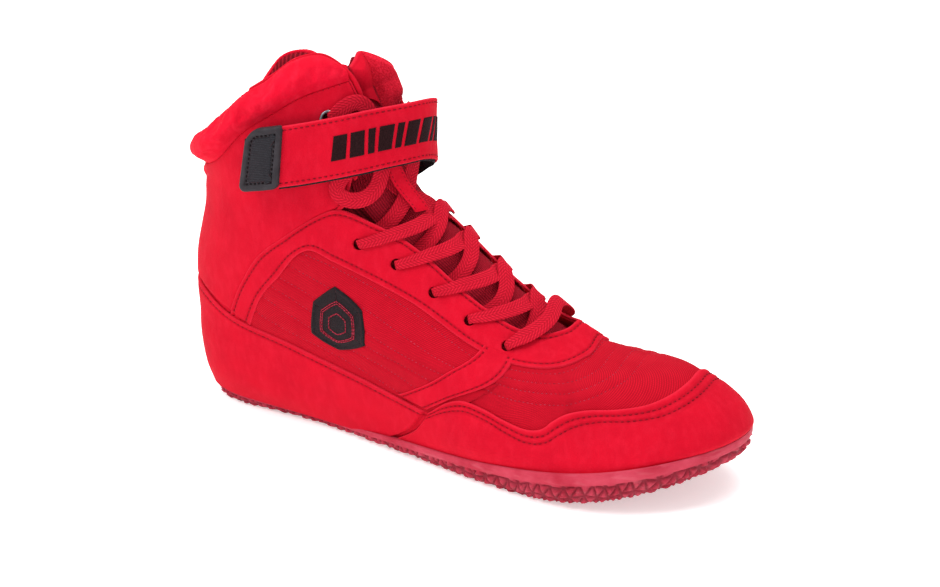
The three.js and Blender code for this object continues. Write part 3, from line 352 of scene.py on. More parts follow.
class Panel:
    """A piece of the upper. Its four edges are s0, s1, r0 and r1, each cut, tucked or open.

    edges: c is a cut edge that rolls over, t runs down under its neighbour, - is neither.
    beyond: how far each edge runs on past the outline, in millimetres.
    rows: (edge, distance) of lines of stitches, which pull the surface down.
    """

    def __init__(self, patch, edges="cccc", beyond=(0, 0, 0, 0), top=0.0, rows=(), lift=None,
                 uneven=0.16, seed=1, quilt=(), thickness=THICKNESS, drop=1.0, tuck=1.7):
        self.patch, self.edges, self.beyond, self.top, self.rows = patch, edges, beyond, top, rows
        self.lift, self.uneven, self.seed, self.quilt = lift, uneven, seed, quilt
        self.thickness, self.drop, self.tuck = thickness, drop, tuck
        k = np.linspace(0, 1, 41)
        s, r = np.meshgrid(k, k, indexing="ij")
        uv = patch(s, r)
        p = last(uv[..., 0], uv[..., 1])
        self.probe = k
        self.along = np.linalg.norm(np.diff(p, axis=0), axis=2).sum(0)
        self.across = np.linalg.norm(np.diff(p, axis=1), axis=2).sum(1)

    def lengths(self, s, r):
        along = np.interp(np.clip(r, 0, 1), self.probe, self.along)
        return along, np.interp(np.clip(s, 0, 1), self.probe, self.across)

    def distances(self, s, r):
        ls, lr = self.lengths(s, r)
        return np.stack([s * ls, (1 - s) * ls, r * lr, (1 - r) * lr], -1)

    def height(self, s, r):
        uv = self.patch(s, r)
        u, v = uv[..., 0], uv[..., 1]
        d = self.distances(s, r)
        down = np.zeros(s.shape)
        for k, kind in enumerate(self.edges):
            if kind == "c":
                x = np.clip((d[..., k] + self.beyond[k]) / ROLL, 0, 1)
                down = np.maximum(down, self.drop * (1 - np.sqrt(np.maximum(1 - (1 - x) ** 2, 0))))
            if kind == "t":
                down = np.maximum(down, self.tuck * (1 - smooth((d[..., k] + 0.4) / 3.2)))
        h = (self.top(u, v) if callable(self.top) else self.top) - down
        edge = d[..., :4].min(-1)
        h = h + self.uneven * undulate(last(u, v), 34, self.seed) * smooth((edge - 1) / 8)
        run = s * self.along.mean()
        for k, away in self.rows:
            other = run if k >= 2 else r * self.across.mean()
            pull = 0.5 + 0.08 * np.cos(other * 2 * np.pi / STITCH_PITCH)
            h = h - pull * np.exp(-(((d[..., k] - away) / 0.62) ** 2))
        for k, away in self.quilt:
            h = h - 0.6 * np.exp(-(np.abs(d[..., k] - away) / 1.1) ** 1.5)
        if self.lift is not None:
            h = h + self.lift(s, r, d)
        return h, down

    def surface(self, s, r, extra=0.0):
        uv = self.patch(s, r)
        h, _ = self.height(s, r)
        return point(uv[..., 0], uv[..., 1], h + extra)

    def shares(self, length, first, second, count):
        """Stations along lines of these lengths, close together near both ends."""
        near = []
        for k in (first, second):
            steps = TUCK_STEPS if self.edges[k] == "t" else CUT_STEPS
            scale = np.minimum(1, length / 12.5)[:, None]
            ahead = np.where(steps > 0, steps * scale, 0)
            behind = np.where(steps <= 0, steps * max(self.beyond[k], 0.01), 0)
            if self.edges[k] != "t":
                ahead, behind = steps * scale - self.beyond[k], 0
            near.append((ahead + behind) / length[:, None])
        low, high = near[0], 1 - near[1][:, ::-1]
        middle = lerp(low[:, -1:], high[:, :1], np.linspace(0, 1, count + 2)[None, 1:-1])
        return np.concatenate([low, middle, high], 1)

    def net(self, step):
        ns = max(2, int(self.along.mean() / step))
        nr = max(2, int(self.across.mean() / step))
        s_line = self.shares(np.array([self.along.mean()]), 0, 1, ns)[0]
        r_line = self.shares(np.array([self.across.mean()]), 2, 3, nr)[0]
        ls, _ = self.lengths(np.zeros(len(r_line)), r_line)
        _, lr = self.lengths(s_line, np.zeros(len(s_line)))
        return self.shares(ls, 0, 1, ns).T, self.shares(lr, 2, 3, nr)

    def build(self, name, material, slot, step=1.6, body="boot", replaces=()):
        s, r = self.net(step)
        uv = self.patch(s, r)
        u, v = uv[..., 0], uv[..., 1]
        h, down = self.height(s, r)
        low = h - np.maximum(self.thickness - down * 0.8, 0.35)
        thread = np.stack([s * self.along.mean(), r * self.across.mean()], -1)
        # cut: near each rolled cut edge, where the suede finish paints a highlight
        cut = np.zeros(s.shape)
        d = self.distances(s, r)
        for k, kind in enumerate(self.edges):
            if kind == "c":
                cut = np.maximum(cut, 1 - smooth((d[..., k] + self.beyond[k]) / 1.1))
        # seam: along the stitch rows, where the suede finish paints shade into their grooves
        seam = np.zeros(s.shape)
        for k, away in (*self.rows, *self.quilt):
            seam = np.maximum(seam, np.exp(-(((d[..., k] - away) / 0.55) ** 2)))
        mesh = shell(name, point(u, v, h), point(u, v, low), thread, cut, seam)
        return link(name, mesh, material, body, slot, replaces)

    def row(self, edge, away, count=900, trim=1.5):
        """A line of points at a distance from one edge, with the outward direction at each."""
        t = np.linspace(0, 1, count)
        if edge >= 2:
            t = t[(t * self.along.mean() > trim) & ((1 - t) * self.along.mean() > trim)]
            _, lr = self.lengths(t, t)
            s, r = t, away / lr if edge == 2 else 1 - away / lr
        else:
            t = t[(t * self.across.mean() > trim) & ((1 - t) * self.across.mean() > trim)]
            ls, _ = self.lengths(t, t)
            s, r = (away / ls if edge == 0 else 1 - away / ls), t
        uv = self.patch(s, r)
        return self.surface(s, r), frame_at(uv[:, 0], uv[:, 1])[2]


STITCH_PITCH = 2.6
STITCH_RADIUS = 0.33


def stitch_mesh(name, rows, pitch=STITCH_PITCH, radius=STITCH_RADIUS, share=0.66, sink=0.02):
    """Separate short threads along each row of (points, outward directions)."""
    ring = full_turn(6)
    at = np.array([-1, -0.8, 0, 0.8, 1]) * 0.5
    size = np.array([0.35, 0.9, 1, 0.9, 0.35])
    dip = np.array([-0.5, -0.12, 0.12, -0.12, -0.5])
    vertices, quads, triangles, count = [], [], [], 0
    for places, out in rows:
        run = travelled(places)
        n = int(run[-1] / pitch)
        if n < 1:
            continue
        middle = (np.arange(n) + 0.5) * run[-1] / n
        take = lambda x, data: np.stack([np.interp(x, run, data[:, k]) for k in range(3)], -1)
        heading = unit(take(middle + 0.4, places) - take(middle - 0.4, places))
        normal = unit(take(middle, out))
        across = unit(np.cross(normal, heading))
        base = take(middle, places)
        for k in range(5):
            centre = base + heading * (at[k] * pitch * share) + normal * (dip[k] * radius * 2 - sink)
            circle = (across[:, None] * np.cos(ring)[None, :, None]
                      + normal[:, None] * np.sin(ring)[None, :, None])
            vertices.append(centre[:, None] + circle * radius * size[k])
        block = np.arange(n)[:, None]
        for k in range(4):
            a = count + (k * n + block) * 6 + np.arange(6)
            b = count + (k * n + block) * 6 + (np.arange(6) + 1) % 6
            quads.append(np.stack([a, b, b + n * 6, a + n * 6], -1).reshape(-1, 4))
        for k, turn in ((0, 1), (4, -1)):
            first = count + (k * n + np.arange(n)) * 6
            for m in (1, 2, 3, 4):
                pair = (first + m + 1, first + m) if turn > 0 else (first + m, first + m + 1)
                triangles.append(np.stack([first, *pair], -1))
        count += 5 * n * 6
    return make_mesh(name, np.concatenate([x.reshape(-1, 3) for x in vertices]), np.concatenate(quads),
                     np.concatenate(triangles))


# ---------------------------------------------------------------- materials
def linear(colour):
    """Scene-linear RGBA of a hex sRGB colour."""
    parts = [int(colour[i:i + 2], 16) / 255 for i in (1, 3, 5)]
    return (*[c / 12.92 if c <= 0.04045 else ((c + 0.055) / 1.055) ** 2.4 for c in parts], 1)


class Finish:
    """A material's node tree, built left to right into one Principled shader."""

    def __init__(self, name):
        self.material = bpy.data.materials.new(name)
        self.material.use_nodes = True
        self.tree = self.material.node_tree
        self.shader = self.tree.nodes["Principled BSDF"]
        self.shader.inputs["Specular IOR Level"].default_value = 0.1
        self.heights = []

    def node(self, kind, **inputs):
        made = self.tree.nodes.new(kind)
        for key, value in inputs.items():
            key = key.replace("_", " ")
            if key in made.inputs:
                self.feed(made.inputs[key], value)
            else:
                setattr(made, key.replace(" ", "_"), value)
        return made

    def feed(self, socket, value):
        if isinstance(value, bpy.types.NodeSocket):
            self.tree.links.new(value, socket)
        else:
            socket.default_value = linear(value) if isinstance(value, str) else value

    def math(self, operation, a, b=0.0):
        made = self.tree.nodes.new("ShaderNodeMath")
        made.operation = operation
        self.feed(made.inputs[0], a)
        self.feed(made.inputs[1], b)
        return made.outputs[0]

    def times(self, a, b):
        return self.math("MULTIPLY", a, b)

    def plus(self, a, b):
        return self.math("ADD", a, b)

    def place(self):
        return self.node("ShaderNodeTexCoord").outputs["Object"]

    def noise(self, size_mm, detail=2.0, stretch=None):
        """Noise with features about size_mm across, from 0 to 1."""
        vector = self.place()
        if stretch:
            mapping = self.node("ShaderNodeMapping")
            self.feed(mapping.inputs["Vector"], vector)
            mapping.inputs["Scale"].default_value = stretch
            vector = mapping.outputs["Vector"]
        made = self.node("ShaderNodeTexNoise", Vector=vector, Scale=1 / (size_mm * MM), Detail=detail)
        return made.outputs["Fac"]

    def attribute(self, name, output="Fac"):
        made = self.node("ShaderNodeAttribute")
        made.attribute_name = name
        return made.outputs[output]

    def thread(self):
        """The two coordinates along and across a panel, in millimetres."""
        split = self.node("ShaderNodeSeparateXYZ", Vector=self.attribute("thread", "Vector"))
        return split.outputs[0], split.outputs[1]

    def wave(self, value, pitch, phase=0.0):
        """A sine of a length in millimetres, from 0 to 1."""
        turned = self.plus(self.times(value, 2 * np.pi / pitch), phase)
        return self.plus(self.times(self.math("SINE", turned), 0.5), 0.5)

    def mix(self, share, a, b):
        made = self.tree.nodes.new("ShaderNodeMix")
        made.data_type = "RGBA"
        self.feed(made.inputs[0], share)
        self.feed(made.inputs[6], a)
        self.feed(made.inputs[7], b)
        return made.outputs[2]

    def between(self, value, low, high):
        """The value, from 0 to 1, carried to low..high."""
        return self.plus(self.times(value, high - low), low)

    def steps(self, value, start, end):
        made = self.node("ShaderNodeMapRange", Value=value)
        made.inputs["From Min"].default_value = start
        made.inputs["From Max"].default_value = end
        return made.outputs["Result"]

    def bump(self, height, depth_mm, strength=1.0):
        made = self.node("ShaderNodeBump", Strength=strength, Distance=depth_mm * MM, Height=height)
        if self.heights:
            self.feed(made.inputs["Normal"], self.heights[-1])
        self.heights.append(made.outputs["Normal"])

    def done(self, colour, roughness, sheen=0.0, sheen_tint="#ff4058", **fixed):
        self.feed(self.shader.inputs["Base Color"], colour)
        self.feed(self.shader.inputs["Roughness"], roughness)
        self.shader.inputs["Sheen Weight"].default_value = sheen
        self.shader.inputs["Sheen Roughness"].default_value = 0.45
        self.shader.inputs["Sheen Tint"].default_value = linear(sheen_tint)
        for key, value in fixed.items():
            self.shader.inputs[key.replace("_", " ")].default_value = value
        if self.heights:
            self.feed(self.shader.inputs["Normal"], self.heights[-1])
        return self.material


def suede_finish(name, deep, main, bright):
    f = Finish(name)
    mottle = f.noise(14, 3)
    nap = f.noise(0.9, 3)
    grain = f.noise(0.32, 2)
    brushed = f.noise(3.2, 2, (1, 1, 0.45))
    colour = f.mix(f.steps(mottle, 0.3, 0.7), deep, main)
    colour = f.mix(f.times(f.steps(brushed, 0.45, 0.8), 0.35), colour, bright)
    colour = f.mix(f.times(f.steps(nap, 0.35, 0.75), 0.22), colour, deep)
    # Painted highlight: lighter suede along the rolled cut edges (the edge mark).
    colour = f.mix(f.times(f.attribute("edge"), 0.45), colour, "#dc2c44")
    # Painted shade: darker suede in the stitch grooves (the seam mark).
    colour = f.mix(f.times(f.attribute("seam"), 0.4), colour, "#7a0012")
    f.bump(grain, 0.10, 0.7)
    f.bump(nap, 0.14, 0.6)
    return f.done(colour, f.between(nap, 0.75, 0.95), 0.05)


def woven_finish(name, dark, light, pitch, slant, depth=0.18, sheen=0.12):
    """Twill: slanting rows of yarn, each row broken by the yarns that cross it."""
    f = Finish(name)
    a, b = f.thread()
    along = f.plus(f.times(a, slant[0]), f.times(b, slant[1]))
    across = f.plus(f.times(a, -slant[1]), f.times(b, slant[0]))
    rows = f.wave(across, pitch)
    breaks = f.wave(f.plus(along, f.times(across, 0.5)), pitch * 1.3)
    yarn = f.times(rows, f.between(breaks, 0.55, 1.0))
    mottle = f.noise(9, 3)
    colour = f.mix(f.between(yarn, 0.1, 1.0), dark, light)
    colour = f.mix(f.times(f.steps(mottle, 0.3, 0.8), 0.3), colour, dark)
    f.bump(yarn, depth, 0.9)
    f.bump(f.noise(0.25, 1), 0.04, 0.5)
    return f.done(colour, f.between(mottle, 0.8, 0.98), sheen)


def lace_finish(name, dark, light):
    """Flat braid: chevrons that meet along the middle of the lace."""
    f = Finish(name)
    a, b = f.thread()
    chevron = f.plus(a, f.times(f.math("ABSOLUTE", b), 1.1))
    picks = f.wave(chevron, 1.7)
    ends = f.wave(b, 1.3)
    yarn = f.times(f.between(picks, 0.2, 1.0), f.between(ends, 0.5, 1.0))
    fuzz = f.noise(0.4, 2)
    colour = f.mix(yarn, dark, light)
    colour = f.mix(f.times(f.steps(f.noise(6, 2), 0.4, 0.8), 0.25), colour, dark)
    f.bump(yarn, 0.2, 0.8)
    f.bump(fuzz, 0.08, 0.7)
    return f.done(colour, 0.9, 0.2)


def ribbed_finish(name, dark, light, pitch):
    """Warp-knit lining with fine mesh holes between the ribs."""
    f = Finish(name)
    a, b = f.thread()
    ribs = f.wave(a, pitch)
    holes = f.times(f.wave(a, pitch / 3), f.wave(b, pitch / 2.4))
    colour = f.mix(ribs, dark, light)
    colour = f.mix(f.times(holes, 0.45), colour, dark)
    f.bump(ribs, 0.3, 0.8)
    f.bump(holes, 0.12, 0.8)
    return f.done(colour, 0.95, 0.1)


def fleece_finish(name, dark, light):
    """Brushed terry: soft, uneven loops."""
    f = Finish(name)
    loops = f.noise(0.7, 3)
    tufts = f.noise(2.4, 2)
    colour = f.mix(f.steps(loops, 0.3, 0.7), dark, light)
    colour = f.mix(f.times(f.steps(tufts, 0.4, 0.75), 0.3), colour, dark)
    f.bump(loops, 0.45, 1.0)
    f.bump(tufts, 0.35, 0.6)
    return f.done(colour, 0.98, 0.45)


def rubber_finish(name, deep, light):
    f = Finish(name)
    fine = f.noise(0.5, 3)
    cloud = f.noise(11, 3)
    scuff = f.noise(3.5, 3, (0.3, 0.3, 1.6))
    colour = f.mix(f.steps(cloud, 0.3, 0.75), deep, light)
    colour = f.mix(f.times(f.steps(scuff, 0.55, 0.8), 0.35), colour, "#cc6a76")
    # Painted shade: darker rubber in the grooves between the lugs (the edge mark, which the outsole fills
    # with groove depth).
    colour = f.mix(f.times(f.attribute("edge"), 0.62), colour, "#4a0612")
    f.bump(fine, 0.04, 0.6)
    return f.done(colour, f.between(cloud, 0.42, 0.62), 0.0)


def moulded_finish(name, base, raised):
    f = Finish(name)
    pores = f.noise(0.35, 2)
    wear = f.noise(4, 3)
    colour = f.mix(f.steps(wear, 0.35, 0.75), base, raised)
    f.bump(pores, 0.05, 0.6)
    return f.done(colour, f.between(wear, 0.45, 0.62), 0.0)


def thread_finish(name, colour_a, colour_b, roughness=0.7, pitch=0.55):
    """Twisted sewing thread."""
    f = Finish(name)
    ply = f.noise(pitch, 1)
    colour = f.mix(f.steps(ply, 0.35, 0.65), colour_a, colour_b)
    f.bump(ply, 0.06, 0.6)
    return f.done(colour, roughness, 0.1)


def satin_finish(name, dark, light, pitch=0.42, slant=(0.35, 0.94)):
    """Satin stitch: close parallel threads with a broken sheen."""
    f = Finish(name)
    a, b = f.thread()
    across = f.plus(f.times(a, slant[1]), f.times(b, -slant[0]))
    rows = f.wave(across, pitch)
    flecks = f.noise(0.5, 2)
    colour = f.mix(f.times(rows, f.steps(flecks, 0.3, 0.7)), dark, light)
    f.bump(rows, 0.12, 0.9)
    f.bump(flecks, 0.08, 0.6)
    return f.done(colour, 0.55, 0.1)


def pile_finish(name, dark, light, size=0.5):
    """Hook or loop tape: a dense matte pile."""
    f = Finish(name)
    pile = f.noise(size, 3)
    patches = f.noise(4, 2)
    colour = f.mix(f.steps(pile, 0.35, 0.7), dark, light)
    colour = f.mix(f.times(patches, 0.3), colour, dark)
    f.bump(pile, 0.4, 1.0)
    return f.done(colour, 0.95, 0.15, "#808088")


def cell_finish(name, dark, light, size=0.7):
    """Cut foam or pressed board."""
    f = Finish(name)
    cells = f.node("ShaderNodeTexVoronoi", Vector=f.place(), Scale=1 / (size * MM)).outputs["Distance"]
    fibres = f.noise(1.6, 3)
    colour = f.mix(f.steps(cells, 0.1, 0.7), dark, light)
    colour = f.mix(f.times(f.steps(fibres, 0.35, 0.7), 0.35), colour, dark)
    f.bump(cells, 0.2, 0.8)
    return f.done(colour, 0.95, 0.05)


def metal_finish(name):
    f = Finish(name)
    scratch = f.noise(0.8, 3, (1, 1, 0.2))
    colour = f.mix(f.steps(scratch, 0.4, 0.7), "#6f7278", "#a9adb3")
    f.bump(scratch, 0.02, 0.5)
    return f.done(colour, f.between(scratch, 0.25, 0.42), 0.0, Metallic=1.0)


SUEDE = suede_finish("suede_red", "#b90420", "#c50623", "#d21a33")
# The same suede painted brighter: painted light on the collar roll and the heel pad.
PAINTED_LIT_SUEDE = suede_finish("suede_red_painted_light", "#c80524", "#d80a2b", "#ea2a44")
MESH_CLOTH = woven_finish("mesh_cloth_red", "#940418", "#ce0a26", 0.8, (0.5, 0.866), 0.11, 0.06)
TONGUE_CLOTH = woven_finish("tongue_knit_red", "#7e0a1a", "#be1c32", 1.15, (0.0, 1.0), 0.3, 0.1)
LACE_CLOTH = lace_finish("lace_braid_red", "#94061a", "#d61a33")
RIB_CLOTH = ribbed_finish("ribbed_lining_red", "#640a16", "#9a1826", RIB_PITCH)
FLEECE = fleece_finish("tongue_fleece_red", "#b40a20", "#e02038")
RUBBER = rubber_finish("sole_rubber_red", "#a82237", "#c04054")
MOULDED = moulded_finish("tab_grey", "#2c282c", "#3a363a")
PANEL_GREY = satin_finish("tab_panel_grey", "#1c1c20", "#303238", 0.8, (1.0, 0.0))
TAPE = pile_finish("hook_tape_black", "#0c0c0e", "#2a2a2e")
EMBROIDERY = satin_finish("embroidery_black", "#0c0c0e", "#2e2d32")
PRINT = pile_finish("print_black", "#1c0a0c", "#2a1416", 0.6)
SEAM_THREAD = thread_finish("seam_thread_red", "#6e0213", "#90081e")
QUILT_THREAD = thread_finish("quilt_thread_pink", "#7c0618", "#b2364c")
BLACK_THREAD = thread_finish("thread_black", "#060608", "#18181c")
FOAM = cell_finish("foam_red", "#7c1420", "#a02434")
BOARD = cell_finish("board_brown", "#4a3a2c", "#77614c", 0.9)
METAL = metal_finish("eyelet_steel")


# ---------------------------------------------------------------- upper
def sewn(name, panel, material, slot, replaces, stitch_rows=(), step=1.6, thread=SEAM_THREAD, **kind):
    panel.build(name, material, slot, step, replaces=replaces)
    if stitch_rows:
        rows = [panel.row(edge, away) for edge, away in stitch_rows]
        mesh = stitch_mesh(name + "_stitching", rows, **kind)
        link(name + "_stitching", mesh, thread, "boot", slot)


def foxing():
    rows = [(3, 2.3)]
    panel = Panel(foxing_patch, "tt-c", (3, 3, 0.6, 0.4), rows=rows, seed=3, uneven=0.2)
    sewn("foxing_suede", panel, SUEDE, "suede", ["foxing"], rows)


def toe_cap():
    rows = [(3, 1.9), (3, 4.2)]
    patch = ruled(wrap(TOE_BOTTOM), wrap(TOE_TOP))
    rise = lambda s, r, d: 0.25 * (1 - smooth((d[..., 3] - 2) / 9))
    panel = Panel(patch, "cc-c", (0.5, 0.5, 0.6, 0.4), rows=rows, seed=4, lift=rise)
    sewn("toe_cap_suede", panel, SUEDE, "suede", ["toe_cap"], rows, 1.4)


EYELET_RADIUS = 2.6
DIMPLE_DEPTH, DIMPLE_REACH = 0.9, 4.2


def eyelet_dish(panel_uv, holes):
    """Depth of the dimple that the lace pulls round each eyelet."""
    places = np.array([last(u, v) for u, v in holes])

    def lift(s, r, d):
        uv = panel_uv(s, r)
        p = last(uv[..., 0], uv[..., 1])
        near = np.min([np.linalg.norm(p - q, axis=-1) for q in places], axis=0)
        return -DIMPLE_DEPTH * np.exp(-((near / DIMPLE_REACH) ** 2))

    return lift


def punch(piece, holes, radius):
    """Cuts round holes through a panel."""
    cutters = []
    for u, v in holes:
        out = frame_at(u, v)[2]
        bpy.ops.mesh.primitive_cylinder_add(vertices=28, radius=radius * MM, depth=9 * MM)
        cutter = bpy.context.object
        cutter.rotation_mode = "QUATERNION"
        cutter.rotation_quaternion = Vector(out).to_track_quat("Z", "Y")
        cutter.location = Vector(point(u, v, -1.2) * MM)
        cutters.append(cutter)
    for cutter in cutters:
        cut = piece.modifiers.new("eyelet", "BOOLEAN")
        cut.object, cut.operation, cut.solver = cutter, "DIFFERENCE", "EXACT"
    bpy.context.view_layer.update()
    graph = bpy.context.evaluated_depsgraph_get()
    cut_mesh = bpy.data.meshes.new_from_object(piece.evaluated_get(graph))
    piece.modifiers.clear()
    piece.data = cut_mesh
    for cutter in cutters:
        bpy.data.objects.remove(cutter)


def facing():
    patch = ruled(wrap(FACING_INNER), wrap(FACING_OUTER))
    holes = EYELETS + mirrored(EYELETS)
    rows = [(2, 2.2), (3, 2.2)]
    dish = eyelet_dish(patch, holes)

    def lift(s, r, d):
        rear = np.minimum(s, 1 - s) * 2 * (len(FACING_INNER) - 1)
        front = smooth((rear - 12) / 2)
        lap = 0.45 * (1 - smooth((rear - 4) / 1.2)) * (1 - smooth((d[..., 2] - 2) / 7))
        return dish(s, r, d) + lap - 0.6 * front * (1 - smooth(d[..., 3] / 6))

    panel = Panel(patch, "ttcc", (3.5, 3.5, 0.2, 0.4), rows=rows, seed=5, lift=lift, uneven=0.12)
    sewn("eyestay_suede", panel, SUEDE, "suede", ["eyestay"], rows, 1.3)
    punch(bpy.data.objects["eyestay_suede"], holes, EYELET_RADIUS)


def side_strip(name, medial):
    patch = ruled(side(STRIP_REAR, medial), side(STRIP_FRONT, medial))
    rows = [(2, 1.9), (3, 1.9)]
    panel = Panel(patch, "ttcc", (4, 1, 0.3, 0.3), rows=rows, seed=6)
    sewn(f"side_strip_{name}_suede", panel, SUEDE, "suede", ["side_strip_" + name], rows, 1.4)


CLOTH_TOP = -1.35


def quilted(name, patch, beyond, quilt, rise, reach, seed, node):
    """A mesh cloth tucked under the suede round it, with quilting rows."""
    puff = lambda s, r, d: rise * smooth(d.min(-1) / reach)
    panel = Panel(patch, "tttt", beyond, CLOTH_TOP, quilt=quilt, lift=puff, seed=seed, thickness=0.8,
                  tuck=0.35, uneven=0.2)
    sewn(name, panel, MESH_CLOTH, "knit", [node], quilt, 1.1, QUILT_THREAD, pitch=2.0, radius=0.24, share=0.6)


def quarter_mesh(name, medial):
    patch = coons(*(side(edge, medial) for edge in (MESH_BOTTOM, MESH_TOP, MESH_LEFT, MESH_RIGHT)))
    width = Panel(patch).across.mean()
    quilt = [(3, width * k / 6.6) for k in (0.75, 1.7, 2.65, 3.6, 4.6, 5.6)]
    quilted(f"quarter_{name}_cloth", patch, (2.5, 2.5, 2.5, 2.5), quilt, 0.9, 14, 7, "quarter_mesh_" + name)


def vamp_mesh():
    patch = ruled(wrap(VAMP_LOW), wrap(VAMP_HIGH))
    quilt = [(3, 5.5 + 6.4 * k) for k in range(4)]
    quilted("vamp_cloth", patch, (4, 4, 2.5, 2), quilt, 0.8, 16, 8, "vamp_mesh")


def ankle_panel(name, medial):
    sign, home = (1, 1) if medial else (-1, 0)
    rear = 0.0008
    back = curve([[home - sign * away, v] for away, v in (
        (rear, 0.386), (rear, 0.5), (rear, 0.6), (rear + 0.01, 0.68), (ACHILLES_HALF + 0.006, 0.73),
        (ACHILLES_HALF + 0.014, 0.77), (ACHILLES_HALF + 0.012, 0.808))])
    low = side([[rear, 0.386], [0.05, 0.383], [0.09, 0.37], [0.133, 0.334]], medial)
    seam = [[u, v - 0.005] for u, v in COLLAR_SEAM[name]][2:]
    seam[0] = list(back(np.array(1.0)))
    patch = coons(low, curve(seam), back, curve(SHAFT_FRONT[name]))
    rows = [(1, 1.6), (3, 1.7)]
    dish = eyelet_dish(patch, [TOP_EYELET[name]])

    def front(s, r, d):
        low_part = 1 - smooth((r - 0.44) / 0.08)
        under = -1.5 * low_part * (1 - smooth((d[..., 1] - 1.2) / 3.5))
        return dish(s, r, d) + under + 0.55 * (1 - low_part) * (1 - smooth(d[..., 1] / 7))

    panel = Panel(patch, "cctt", (0.45, 1.3, 4.0, 2.4), rows=rows, seed=9 + medial, lift=front, uneven=0.3)
    sewn(f"ankle_{name}_suede", panel, SUEDE, "suede", ["ankle_panel_" + name], rows, 1.7)
    punch(bpy.data.objects[f"ankle_{name}_suede"], [TOP_EYELET[name]], EYELET_RADIUS)


def achilles():
    half = ACHILLES_HALF
    patch = coons(curve([[-half, 0.76], [-0.04, 0.716], [0, 0.706], [0.04, 0.716], [half, 0.76]]),
                  curve([[-half, 0.812], [-0.04, 0.806], [0, 0.806], [0.04, 0.802], [half, 0.8]]),
                  line(-half, 0.76, -half, 0.812), line(half, 0.76, half, 0.8))
    arch = lambda x: np.sin(np.pi * np.clip(x, 0, 1))
    plump = lambda s, r, d: 3.6 * arch(s) ** 0.7 * arch(r) ** 0.8
    panel = Panel(patch, "cccc", (2.6, 2.6, 3.0, 3.0), -0.8, lift=plump, seed=12, thickness=1.4, uneven=0.3)
    piece = panel.build("achilles_pad", PAINTED_LIT_SUEDE, "suede", 1.2, replaces=["achilles_panel"])


# ---------------------------------------------------------------- linings
def lining_depth(u, v):
    w = np.minimum(u % 1, 1 - u % 1)
    away = smooth((0.34 - w) / 0.12)
    return -(3.8 + away * (1.6 + 3.6 * smooth((v - 0.45) / 0.2)))


def lining(name, patch, depth, replaces, beyond=(0, 0, 0, 0), step=1.6):
    """A ribbed lining: the ribs stand on its inner face."""
    panel = Panel(patch, "----", beyond)
    s, r = panel.net(step)
    uv = patch(s, r)
    u, v = uv[..., 0], uv[..., 1]
    top = depth(u, v)
    ribs = 0.25 * np.sin(s * panel.along.mean() * 2 * np.pi / RIB_PITCH)
    thread = np.stack([s * panel.along.mean(), r * panel.across.mean()], -1)
    mesh = shell(name, point(u, v, top), point(u, v, top - 0.9 + ribs), thread, np.zeros(s.shape))
    return link(name, mesh, RIB_CLOTH, "boot", "ribbed_lining", replaces)


def quarter_lining(name, medial):
    sign, home = (1, 1) if medial else (-1, 0)
    back = line(home - sign * 0.003, 0.02, home - sign * 0.003, 0.808)
    low = side([[0.003, 0.02], [0.1, 0.02], [0.19, 0.02], [0.26, 0.02]], medial)
    seam = [[u, v - 0.01] for u, v in COLLAR_SEAM[name]]
    front = [list(p) for p in SHAFT_FRONT[name][5:]]
    front[-1] = seam[-1]
    lower = [[0.26, 0.02], [0.3, 0.2], [0.345, 0.33], [0.378, 0.42], [0.377, 0.5], [0.36, 0.565]]
    top = [list(back(np.array(1.0)))] + seam[1:]
    patch = coons(low, curve(top), back, curve((mirrored(lower) if medial else lower) + front))
    lining(f"quarter_{name}_ribbed", patch, lining_depth, ["quarter_lining_" + name], (0.6, 0, 0, 1.5))


def vamp_lining():
    patch = ruled(wrap([[0.268, 0.06], [0.31, 0.06], [0.36, 0.06], [0.42, 0.06], [0.5, 0.06]]),
                  wrap([[0.354, 0.33], [0.374, 0.35], [0.395, 0.378], [0.44, 0.385], [0.5, 0.395]]))
    lining("vamp_ribbed", patch, lambda u, v: np.full(u.shape, -3.8), ["vamp_lining"], step=1.8)


# ---------------------------------------------------------------- padding
def inflate(piece, held, cap, grow, pressure, stiffness):
    """Swells a padded cover as cloth under air pressure, held where it is sewn, and keeps the result."""
    group = piece.vertex_groups.new(name="held")
    for weight in np.unique(np.round(held, 1)):
        members = np.nonzero(np.round(held, 1) == weight)[0]
        if weight > 0:
            group.add(members.tolist(), float(weight), "REPLACE")
    cloth = piece.modifiers.new("padding", "CLOTH")
    cloth.settings.quality = 6
    cloth.settings.mass = 0.15
    cloth.settings.tension_stiffness = cloth.settings.compression_stiffness = 15
    cloth.settings.bending_stiffness = stiffness
    cloth.settings.vertex_group_mass = group.name
    cloth.settings.use_pressure = True
    cloth.settings.uniform_pressure_force = pressure
    cloth.settings.shrink_min = -grow
    cloth.settings.effector_weights.gravity = 0
    cloth.collision_settings.use_collision = False
    for frame_number in range(1, 21):
        bpy.context.scene.frame_set(frame_number)
    swollen = piece.evaluated_get(bpy.context.evaluated_depsgraph_get()).to_mesh()
    before, after = np.empty(len(piece.data.vertices) * 3), np.empty(len(piece.data.vertices) * 3)
    piece.data.vertices.foreach_get("co", before)
    swollen.vertices.foreach_get("co", after)
    move = (after - before).reshape(-1, 3)
    length = np.linalg.norm(move, axis=1, keepdims=True) + 1e-9
    move = move * np.minimum(1, cap * MM / length)
    piece.modifiers.clear()
    piece.vertex_groups.clear()
    piece.data.vertices.foreach_set("co", before + move.ravel())
    piece.data.update()
    bpy.context.scene.frame_set(1)


